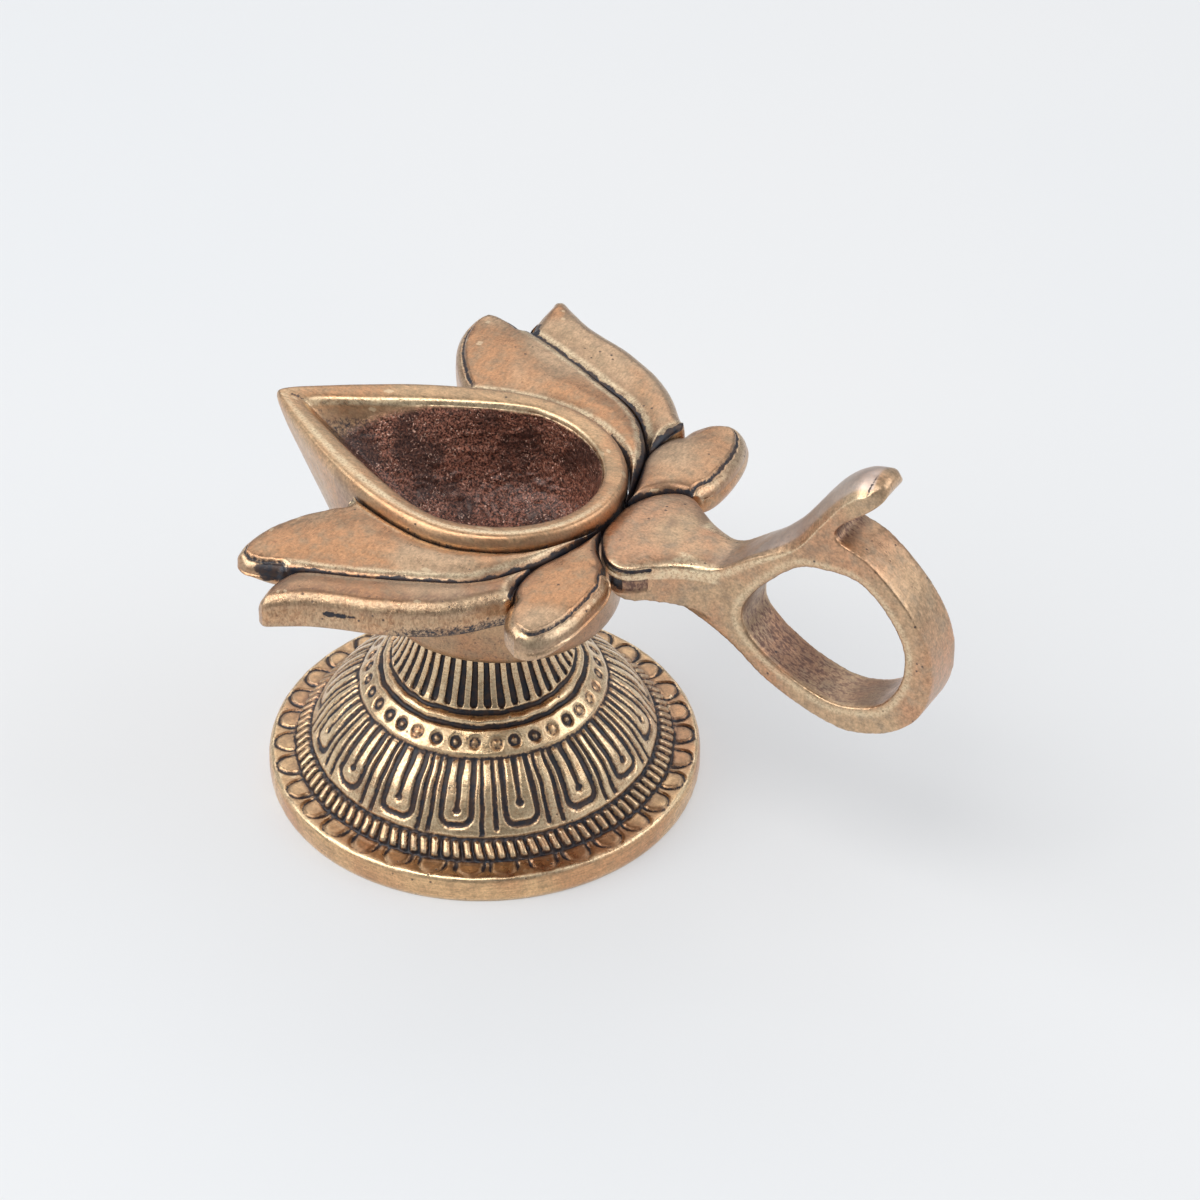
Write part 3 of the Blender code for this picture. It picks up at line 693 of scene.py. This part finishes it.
def petal_piece(kind, label, inner, outer, crown, free, seams, material):
    """A petal lofted from its root to its tip between its two edges in plan. crown gives the height of its
    top at each plan point and a dark mark there, which is a painted shadow on the front outer petal, free
    is its outline away from other pieces, and seams are the outlines that it shares."""
    front = label == "front"
    share = 1 - (1 - np.linspace(0, 1, PETAL_ROWS)) ** 1.7
    inner_edge, outer_edge = along(inner, share)[:, None], along(outer, share)[:, None]
    w = 0.5 - 0.5 * np.cos(np.linspace(0, math.pi, PETAL_TOP))
    span = outer_edge - inner_edge
    plan = inner_edge + w[None, :, None] * span
    height, stain_and_shadow = crown(plan, w[None], share[:, None])
    top = np.concatenate([plan, height[..., None]], -1)
    # Rounded edges, dark seams and the engraved line
    from_free = distance_to(free, top)
    from_seam = np.minimum.reduce([distance_to(seam, top) for seam in seams])
    ragged = smooth_noise(top, 1.3, 6.1)
    seam_width = 0.4 if front or kind == "small" else 0.75
    seam_mark = stroke(from_seam, seam_width + 0.35 * ragged, 0.24)
    line_mark = beyond = 0 * from_free
    if kind in ENGRAVED_LINES:
        line_at, fade_from, fade_to = ENGRAVED_LINES[kind]
        line_at = line_at + 0.18 * ragged
        strength = ramp(fade_from, fade_to, top[..., 0])
        line_mark = stroke(from_free - line_at, 0.2 if front else 0.27, 0.17) * strength
        beyond = ramp(line_at + 0.3, line_at - 0.5, from_free) * strength
    top[..., 2] -= shoulder(from_free, 2.3, 1.9) + shoulder(from_seam, 1.5, 1.1)
    tip_drop = TIP_DROP[kind] * ramp(0.5, 1.0, share)
    top[..., 2] -= 0.45 * line_mark + 0.35 * beyond + tip_drop[:, None]
    top[..., 2] += 0.14 * smooth_noise(top, 5.0, 2.2) + 0.035 * ragged
    root_low, rise, lift, lift_from = UNDERSIDES[kind, label]
    low = root_low + rise * share + lift * ramp(lift_from, 1.0, share)
    lowest_edge = np.minimum(top[:, 0, 2], top[:, -1, 2])
    rings = petal_rings(top, inner_edge, span, np.minimum(low, lowest_edge - 0.6)[:, None])

    # Dark seam walls, painted shade in the hollow between the tips, tarnish mixed with painted shade near the
    # edges, and wear along them, partly a painted highlight beside the seams
    seam_wall = np.minimum.reduce([distance_to(seam, rings) for seam in seams])
    depth = (rings[:, :1, 2] - rings[..., 2]) - 0.1
    patina_and_shade = 0.95 * ramp(0.5, 0.2, seam_wall) * ramp(0.0, 0.5, depth)
    patina_and_shade[:, TOP] = np.maximum.reduce([seam_mark, 0.95 * line_mark, stain_and_shadow])
    # Painted shade in the hollow between the tips of the inner and the outer petal
    hollow = np.linalg.norm((rings - (*HOLLOW_AT, HOLLOW_Z[label])) / (4.4, 2.6, 1.5), axis=-1)
    hollow = hollow + 0.35 * smooth_noise(rings, 1.3, 6.1)
    patina_and_shade = np.maximum(patina_and_shade, ramp(1.15, 0.75, hollow))
    patina_and_shade[:, UNDERSIDE] = 0.35
    tarnish_and_shade, wear_and_highlight, brushed = np.zeros_like(patina_and_shade), np.zeros_like(patina_and_shade), np.zeros_like(patina_and_shade)
    smudge = smooth_noise(top, 2.2, 3.3)
    near_edge = np.minimum(from_seam, from_free + 0.6)
    tarnish_and_shade[:, TOP] = 0.5 * ramp(3.2 + 2.0 * smudge, 0.6, near_edge)
    # Wear along the rounded edge beside the seam, partly a painted highlight
    rolled = {"inner": 0.9, "outer": 0.5 if front else 0.9, "small": 0.0}[kind]
    wear_and_highlight[:, TOP] = rolled * stroke(from_seam - 1.2, 0.5, 0.45) + 0.45 * stroke(from_free - 0.8, 0.6, 0.4)
    if kind == "outer":
        if front:
            # Painted shade over the front outer petal's top, strongest about 2.5 mm in from its free edge
            band = 0.25 + 0.3 * stroke(from_free - 2.5 - 0.5 * smudge, 0.9, 0.9)
            tarnish_and_shade[:, TOP] = np.maximum(tarnish_and_shade[:, TOP], band)
        side_x, side_z = rings[:, OUTER_WALL, 0], rings[:, OUTER_WALL, 2]
        grain = smooth_noise(rings[:, OUTER_WALL], 1.1, 4.9)
        # Patina mixed with painted shade low on the wall towards its root end
        lower = ramp(61.6, 59.6, side_z + 0.5 * grain) * ramp(2.0, 12.0, side_x)
        flaw = np.hypot((side_x + 1.2) / 3.0, (side_z - 61.4) / 0.45) + 0.5 * grain
        patina_and_shade[:, OUTER_WALL] = np.maximum(0.62 * lower, ramp(1.2, 0.7, flaw) * front)
        brushed[:, OUTER_WALL] = 1.0
        brushed[:, TOP] = ramp(1.9, 0.9, from_free)

    faces = ring_faces(PETAL_ROWS, rings.shape[1], outward=False)
    if front:
        rings[..., 1] *= -1
        faces = [face[::-1] for face in faces]
    node = f"{kind}_petal_{label}"
    weathering_and_painted_light = {"patina_and_shade": patina_and_shade, "wear_and_highlight": wear_and_highlight, "tarnish_and_shade": tarnish_and_shade, "brushed": brushed}
    make_piece(f"{node}_brass", rings.reshape(-1, 3), faces, weathering_and_painted_light, node, material)


def inner_front_crown(plan, w, t):
    rise = 64.2 + 0.5 * ramp(0.0, 0.45, w) - 0.6 * ramp(0.55, 1.0, w)
    rise = rise - 0.3 * ramp(0.25, 0.0, t) - 0.5 * ramp(0.75, 1.0, t)
    return rise, 0 * rise


def inner_back_crown(plan, w, t):
    rise, stain_and_shadow = inner_front_crown(plan, w, t)
    return rise + 1.0 * ramp(0.3, 1.0, t), stain_and_shadow


def outer_front_crown(plan, w, t):
    """The outer petal's pillow, which rounds down at its tip and has an olive shadow along its side."""
    from_side = distance_to(OUTER_SIDE, plan)
    rise = 64.0 + 0.5 * np.sin(math.pi * w) - 0.5 * ramp(0.2, 0.0, t)
    rise = rise - shoulder(distance_to(TIP_LINE, plan), 6.0, 2.2)
    # A painted olive shadow along the petal's side
    stain_and_shadow = 0.3 * stroke(from_side - 2.3, 0.35, 0.5) * ramp(20.0, 10.0, plan[..., 0])
    return rise, stain_and_shadow


def outer_back_crown(plan, w, t):
    rise = 63.7 + 1.2 * ramp(0.0, 0.6, w) + 0.3 * t
    return rise - 1.2 * ramp(0.18, 0.0, t), 0 * rise


def small_crown(plan, w, t):
    rise = 63.8 + 0.7 * np.sin(math.pi * w) - 0.5 * w + 0 * t
    return rise, 0 * rise


def leaned(plan):
    """Leans the front petals' root ends towards the spout, because the lamp's front half isn't quite the
    mirror image of its back half."""
    x, y = plan[:, :1], plan[:, 1:2]
    share = ramp(12.0, 26.0, x) * ramp(12.0, 26.0, y)
    shoulder_share = ramp(30.0, 34.0, x) * ramp(10.0, 13.0, y)
    return plan + np.maximum(share, shoulder_share) * (-1.9, 1.1)


def unmoved(plan):
    return plan


def reaching(plan):
    """Moves the back outer petal's edge out, because it is a little larger than the front one."""
    return plan * (1.0, 1.025)


def build_petals(material):
    wall = cup_wall(13.0, 113.0, SEAM_GAP)
    wall_line = cup_wall(10.0, 112.0, 0.0)
    inner_free = catmull_rom(INNER_FREE, 40)
    inner_tip = catmull_rom(INNER_TIP, 16)
    inner_seam = catmull_rom(INNER_SEAM, 70)
    inner_in, inner_out = np.vstack([wall, inner_free]), np.vstack([inner_seam, inner_tip])
    inner_free = np.vstack([inner_free, inner_tip[::-1]])

    step = np.stack([-np.gradient(inner_seam[:, 1]), np.gradient(inner_seam[:, 0])], -1)
    beside = inner_seam - step / np.linalg.norm(step, axis=1, keepdims=True) * SEAM_GAP
    start = np.argmin(np.linalg.norm(beside - np.array(OUTER_FREE[0]), axis=1))
    outer_tip = catmull_rom(OUTER_TIP, 16)
    outer_in, outer_out = np.vstack([beside[start:], outer_tip]), catmull_rom(OUTER_FREE, 80)
    outer_root = catmull_rom(OUTER_FREE[:3], 12)
    outer_free = np.vstack([outer_out[14:], outer_tip[::-1]])

    small_root, small_free = catmull_rom(SMALL_ROOT, 40), catmull_rom(SMALL_FREE, 24)
    small_in, small_out = np.vstack([small_root, small_free[1:]]), catmull_rom(SMALL_OUTER, 70)
    small_seam = catmull_rom(SMALL_OUTER[:5], 24)
    small_free = np.vstack([small_free, catmull_rom(SMALL_OUTER[5:], 50)[::-1]])

    for label, fit, outer_fit, inner_crown, outer_crown in (
            ("back", unmoved, reaching, inner_back_crown, outer_back_crown),
            ("front", leaned, leaned, inner_front_crown, outer_front_crown)):
        petal_piece("inner", label, inner_in, fit(inner_out), inner_crown, inner_free,
                    [fit(inner_seam), wall_line], material)
        petal_piece("outer", label, fit(outer_in), outer_fit(outer_out), outer_crown, outer_fit(outer_free),
                    [fit(inner_seam), outer_fit(outer_root)], material)
        petal_piece("small", label, fit(small_in), fit(small_out), small_crown, fit(small_free),
                    [fit(small_root), fit(small_seam)], material)


# ---------------- handle

# The strap and the finger hole in side view, as x and height, and half of the root petal in plan
HANDLE_SIDE = [
    (30.0, 55.6), (30.0, 62.6), (36.0, 62.9), (42.0, 63.2), (48.4, 63.9), (54.0, 69.0), (60.5, 75.3),
    (64.4, 81.0), (67.9, 86.0), (71.2, 89.2), (74.2, 90.6), (76.8, 90.3), (77.8, 88.4), (76.0, 86.0),
    (69.6, 80.6), (68.6, 77.6), (74.1, 76.0), (81.2, 70.0), (85.6, 63.6), (RING_BACK_X, 57.0),
    (86.4, 49.0), (82.4, 43.6), (77.0, 40.5), (71.5, 39.4), (64.2, 41.2), (57.0, 44.5), (51.5, 48.8),
    (46.4, 51.8), (41.0, 53.8), (35.3, 54.8),
]
FINGER_HOLE = [
    (61.9, 69.3), (68.2, 70.9), (73.6, 70.7), (78.2, 67.0), (81.5, 62.1), (82.5, 57.1), (81.4, 51.7),
    (78.2, 46.9), (73.7, 44.9), (69.1, 44.3), (62.6, 46.4), (56.5, 49.9), (52.5, 54.8), (54.4, 60.9),
]
THUMB_TOP = slice(3, 11)
ROOT_SIDE = [(26.0, 0.0), (26.0, 2.6), (26.5, 4.9), (28.2, 7.9), (30.8, 10.8), (33.6, 11.8), (36.0, 10.9),
             (38.5, 8.8), (43.0, 6.1), (48.0, 4.9), (52.0, 4.6)]
STRAP_WIDTH = 9.4
ROOT_COLUMNS = 25
REMESH_VOXEL = 0.36
# The dark notch and the shallow recess beside it in the front of the root
NOTCH_X, NOTCH_Z = (31.0, 33.8), (58.4, 61.0)
RECESS_X, RECESS_Z = (33.8, 37.6), (58.7, 60.9)


def eased(outline, passes=14):
    """A closed outline with its small corners rounded off."""
    for _ in range(passes):
        outline = (np.roll(outline, 1, axis=0) + 2 * outline + np.roll(outline, -1, axis=0)) / 4
    return outline


def upright_slab(outline, half_width):
    """A closed outline in x and height, made as thick as the strap is wide."""
    count = len(outline)
    near = np.stack([outline[:, 0], np.full(count, -half_width), outline[:, 1]], -1)
    far = near * (1, -1, 1)
    return np.vstack([near, far]), ring_faces(2, count)


def root_loft():
    """The root petal: a crowned fan in plan, with a deep lower edge that runs out into the stem."""
    w = np.cos(np.linspace(0, math.pi, ROOT_COLUMNS))
    rings = []
    for x, y in catmull_rom(ROOT_SIDE, 60)[::-1]:
        top = 63.2 + 1.1 * (1 - np.abs(w) ** 4.0) * ramp(26.0, 29.5, x)
        top = top - 0.6 * ramp(40, 50, x)
        low = np.interp(x, [26.0, 33.0, 40.0, 52.0], [58.6, 57.2, 55.6, 52.0])
        along_x, side = np.full(ROOT_COLUMNS, x), w * max(y, 0.4)
        upper = np.stack([along_x, side, top], -1)
        lower = np.stack([along_x, -side, np.full(ROOT_COLUMNS, low)], -1)
        rings.append(np.vstack([upper, lower]))
    return np.array(rings)


def scratch_object(name, vertices, faces):
    """An object to cast the handle from, with all its faces turned outwards."""
    obj = make_object(name, vertices * MM, faces)
    bm = bmesh.new()
    bm.from_mesh(obj.data)
    bmesh.ops.recalc_face_normals(bm, faces=bm.faces)
    bm.to_mesh(obj.data)
    bm.free()
    return obj


def slab_object(name, outline, count, half_width):
    rounded = eased(catmull_rom(outline, count, closed=True)[:-1])
    return scratch_object(name, *upright_slab(rounded, half_width))


def cast_handle():
    """The strap with its finger hole, joined to the root petal as one casting with soft inner corners.
    Gives its points in millimetres, their normals and its faces."""
    strap = slab_object("strap", HANDLE_SIDE, 301, STRAP_WIDTH / 2)
    hole = slab_object("hole", FINGER_HOLE, 161, STRAP_WIDTH)
    rings = root_loft()
    root = scratch_object("root", rings.reshape(-1, 3), ring_faces(len(rings), rings.shape[1]))
    for operation, other in (("DIFFERENCE", hole), ("UNION", root)):
        boolean = strap.modifiers.new(operation, "BOOLEAN")
        boolean.operation = operation
        boolean.object = other
    remesh = strap.modifiers.new("cast", "REMESH")
    remesh.mode = "VOXEL"
    remesh.voxel_size = REMESH_VOXEL * MM
    soften = strap.modifiers.new("worn", "SMOOTH")
    soften.factor = 0.5
    soften.iterations = 16
    bpy.context.view_layer.update()
    mesh = bpy.data.meshes.new_from_object(strap.evaluated_get(bpy.context.evaluated_depsgraph_get()))
    points, normals = np.empty((2, len(mesh.vertices) * 3), np.float32)
    mesh.vertices.foreach_get("co", points)
    mesh.vertices.foreach_get("normal", normals)
    faces = [list(polygon.vertices) for polygon in mesh.polygons]
    for obj in (strap, hole, root):
        bpy.data.objects.remove(obj, do_unlink=True)
    return points.reshape(-1, 3).astype(float) / MM, normals.reshape(-1, 3), faces


def within(limits, values):
    return (values > limits[0]) * (values < limits[1])


def build_handle(material):
    points, normals, faces = cast_handle()
    x, y, z = points.T
    # The thumb rest is crowned across, and its tip narrows to a round end
    from_top = distance_to(catmull_rom(HANDLE_SIDE[THUMB_TOP], 90), points[:, [0, 2]])
    sunk = 2.7 * (np.abs(y) / 4.6) ** 2.2 * np.exp(-from_top / 2.0)
    sunk = sunk * ramp(50.0, 62.0, x) * (1 - 0.35 * ramp(73.0, 77.5, x))
    lean = 0.76 - 0.6 * ramp(66.0, 75.0, x)
    points += sunk[:, None] * np.stack([lean, 0 * lean, -np.sqrt(1 - lean ** 2)], -1)
    past = np.clip(((x - 69.0) * 0.85 + (z - 85.0) * 0.53 - 4.4) / 5.15, 0, 0.97) * (z > 80)
    points[:, 1] = y * np.sqrt(1 - past ** 2)
    lumps = 0.10 * smooth_noise(points, 5.5, 1.7) + 0.03 * smooth_noise(points, 1.2, 4.4)
    points += normals * lumps[:, None]

    root_edge = catmull_rom(ROOT_SIDE, 90)
    front = ramp(-7.5, -8.5, y) * (normals[:, 1] < -0.2)
    notch = front * within(NOTCH_X, x) * within(NOTCH_Z, z)
    recess = front * within(RECESS_X, x) * within(RECESS_Z, z)
    score = stroke(distance_to(root_edge[:62] * (1, -1), points), 0.32, 0.2)
    score = score * ramp(62.1, 62.3, z) * ramp(63.1, 62.9, z)
    score = score * ramp(29.0, 30.0, x) * ramp(38.4, 38.0, x)
    points[:, 1] += 1.1 * notch + 0.45 * recess + 0.4 * score
    beside = np.abs(y)

    # Tarnish inside the finger ring, darker towards its lower end, and painted shade in the crook behind the
    # thumb rest
    from_hole = distance_to(catmull_rom(FINGER_HOLE, 121, closed=True), points[:, [0, 2]])
    inner_face = ramp(1.3, 0.3, from_hole) * ramp(4.4, 3.4, beside)
    crook = ramp(3.5, 0.8, np.hypot(x - 69.5, z - 78.0)) * ramp(4.4, 3.6, beside)
    low = ramp(76, 60, x) * ramp(60, 50, z)
    smudge = smooth_noise(points, 3.2, 5.2)
    stain_and_shadow = 0.35 * ramp(0.1, 0.6, smudge) * ramp(75, 60, x)
    tarnish_and_shade = np.maximum.reduce([inner_face * (0.6 + 0.35 * low), 0.9 * crook, stain_and_shadow, recess])

    # A grey polish on top of the thumb rest, partly a painted reflection
    on_top = ramp(0.9, 0.3, from_top) * ramp(3.9, 3.3, beside) * ramp(44, 58, x)
    # A dark line along the crease across the thumb rest
    crease = stroke((x - 75.3) * 0.8 + (z - 89.6) * 0.2 - 0.25 * y, 0.16, 0.2)
    crease = 0.8 * crease * ramp(0.9, 0.3, from_top) * (x > 70)
    seams = [stroke(distance_to(curve, points), 0.35, 0.25) * (z > 57)
             for curve in (root_edge[:30], root_edge[:30] * (1, -1))]
    patina_and_shade = np.maximum.reduce([0.16 * inner_face, *seams, notch, score, crease])

    ring_edge = stroke(from_hole - 1.0, 0.5, 0.5) * ramp(3.4, 4.4, beside)
    thumb_edge = stroke(from_top - 0.9, 0.6, 0.5) * ramp(3.3, 4.2, beside) * ramp(76, 73, x)
    # A painted highlight along the root's lower front edge
    ridge = stroke(distance_to(root_edge[34:78] * (1, -1), points), 0.9, 0.6) * (z > 61)
    wear_and_highlight = np.clip(0.7 * ring_edge + 0.9 * thumb_edge + 0.8 * ridge, 0, 1)
    weathering_and_painted_light = {"patina_and_shade": patina_and_shade, "wear_and_highlight": wear_and_highlight, "tarnish_and_shade": tarnish_and_shade, "polish_and_reflection": 0.65 * on_top}
    make_piece("handle_brass", points, faces, weathering_and_painted_light, "handle", material)


# ---------------- stage

# The floor's side and the height of the point that the lights face, in metres
FLOOR_SIZE = 6.0
LIGHT_TARGET_Z = 0.05
WORLD_COLOUR = (0.93, 0.96, 1.0)
# The world is dimmer behind the camera, where a reflection of it would whiten the metal
WORLD_STRENGTH, WORLD_STRENGTH_BEHIND = 0.46, 0.2
# Softboxes: direction as parts to the camera's right, away from it and up, distance and size in metres,
# power and colour
SOFTBOXES = {
    "left_softbox": ((-1.0, -0.15, 0.85), 1.3, (1.1, 0.9), 8.0, (1.0, 0.985, 0.96)),
    "right_softbox": ((1.1, -0.1, 0.8), 1.3, (1.0, 0.9), 5.0, (0.96, 0.98, 1.0)),
    "front_softbox": ((-0.25, -0.45, 1.0), 1.3, (0.7, 0.45), 4.6, (1.0, 0.98, 0.95)),
    "back_softbox": ((0.0, 1.0, 1.05), 1.4, (1.5, 0.8), 3.4, (1.0, 1.0, 1.0)),
}


def view_axes():
    right = Vector((math.cos(CAMERA_AZIMUTH), math.sin(CAMERA_AZIMUTH), 0.0))
    level = Vector((-math.sin(CAMERA_AZIMUTH), math.cos(CAMERA_AZIMUTH), 0.0))
    forward = level * math.cos(CAMERA_ELEVATION) - Vector((0, 0, math.sin(CAMERA_ELEVATION)))
    up = level * math.sin(CAMERA_ELEVATION) + Vector((0, 0, math.cos(CAMERA_ELEVATION)))
    return right, level, forward, up


def build_floor():
    bpy.ops.mesh.primitive_plane_add(size=FLOOR_SIZE, location=(0, 0, AXIS.z))
    floor = bpy.context.object
    floor.name = "floor"
    floor.data.materials.append(pale_floor("pale_floor"))


def build_world(forward):
    world = bpy.data.worlds.new("studio")
    bpy.context.scene.world = world
    g = Graph(world)
    way = g.node("TexCoord").outputs["Generated"]
    behind = g.node("VectorMath", {0: way, 1: -forward}, operation="DOT_PRODUCT").outputs["Value"]
    strength = g.spread(behind, 0.8, 0.97, WORLD_STRENGTH, WORLD_STRENGTH_BEHIND)
    g.feed(g.tree.nodes["Background"], {"Color": WORLD_COLOUR, "Strength": strength})


def add_facing(name, data, place, forward):
    """Adds a camera or a light at a place, looking along forward."""
    obj = bpy.data.objects.new(name, data)
    bpy.context.scene.collection.objects.link(obj)
    obj.location = place
    obj.rotation_mode = "QUATERNION"
    obj.rotation_quaternion = forward.to_track_quat("-Z", "Y")
    return obj


def build_camera(right, forward, up):
    data = bpy.data.cameras.new("camera")
    data.lens = CAMERA_LENS
    data.sensor_width = 36.0
    data.clip_start, data.clip_end = 0.01, 20.0
    offset = right * CAMERA_AIM_RIGHT + up * CAMERA_AIM_UP - forward * CAMERA_DISTANCE
    bpy.context.scene.camera = add_facing("camera", data, AXIS + offset * MM, forward)


def build_softbox(name, direction, distance, size, power, colour):
    """An area light that faces the lamp from the given direction."""
    data = bpy.data.lights.new(name, "AREA")
    data.shape = "RECTANGLE"
    data.size, data.size_y = size
    data.energy = power
    data.color = colour
    way = direction.normalized()
    add_facing(name, data, AXIS + Vector((0, 0, LIGHT_TARGET_Z)) + way * distance, -way)


right, level, forward, up = view_axes()
build_camera(right, forward, up)
build_foot(aged_brass("engraved_brass", (0.78, 0.50, 0.26), (0.66, 0.36, 0.18), (0.46, 0.29, 0.16),
                      (0.35, 0.35, 3.0), (0.26, 0.42)))
build_cup(aged_brass("cup_brass", (0.63, 0.40, 0.22), (0.60, 0.32, 0.16), (0.45, 0.32, 0.19),
                     (0.6, 2.4, 1.2), (0.3, 0.46), gritty=True))
build_petals(aged_brass("petal_brass", (0.61, 0.40, 0.24), (0.57, 0.29, 0.14), (0.44, 0.32, 0.20),
                        (1.8, 0.7, 1.2), (0.28, 0.44)))
build_handle(aged_brass("handle_brass", (0.60, 0.40, 0.235), (0.60, 0.33, 0.185), (0.42, 0.32, 0.22),
                        (1.0, 2.2, 1.0), (0.3, 0.46), edge_wear=0.0))
steel = plain_steel("screw_steel")
for name in ("fixing_screw", "washer"):
    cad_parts[name].data.materials.clear()
    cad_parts[name].data.materials.append(steel)
build_floor()
build_world(forward)
for name, (parts, *settings) in SOFTBOXES.items():
    direction = right * parts[0] + level * parts[1] + Vector((0, 0, parts[2]))
    build_softbox(name, direction, *settings)
bpy.context.scene.view_settings.view_transform = "Standard"
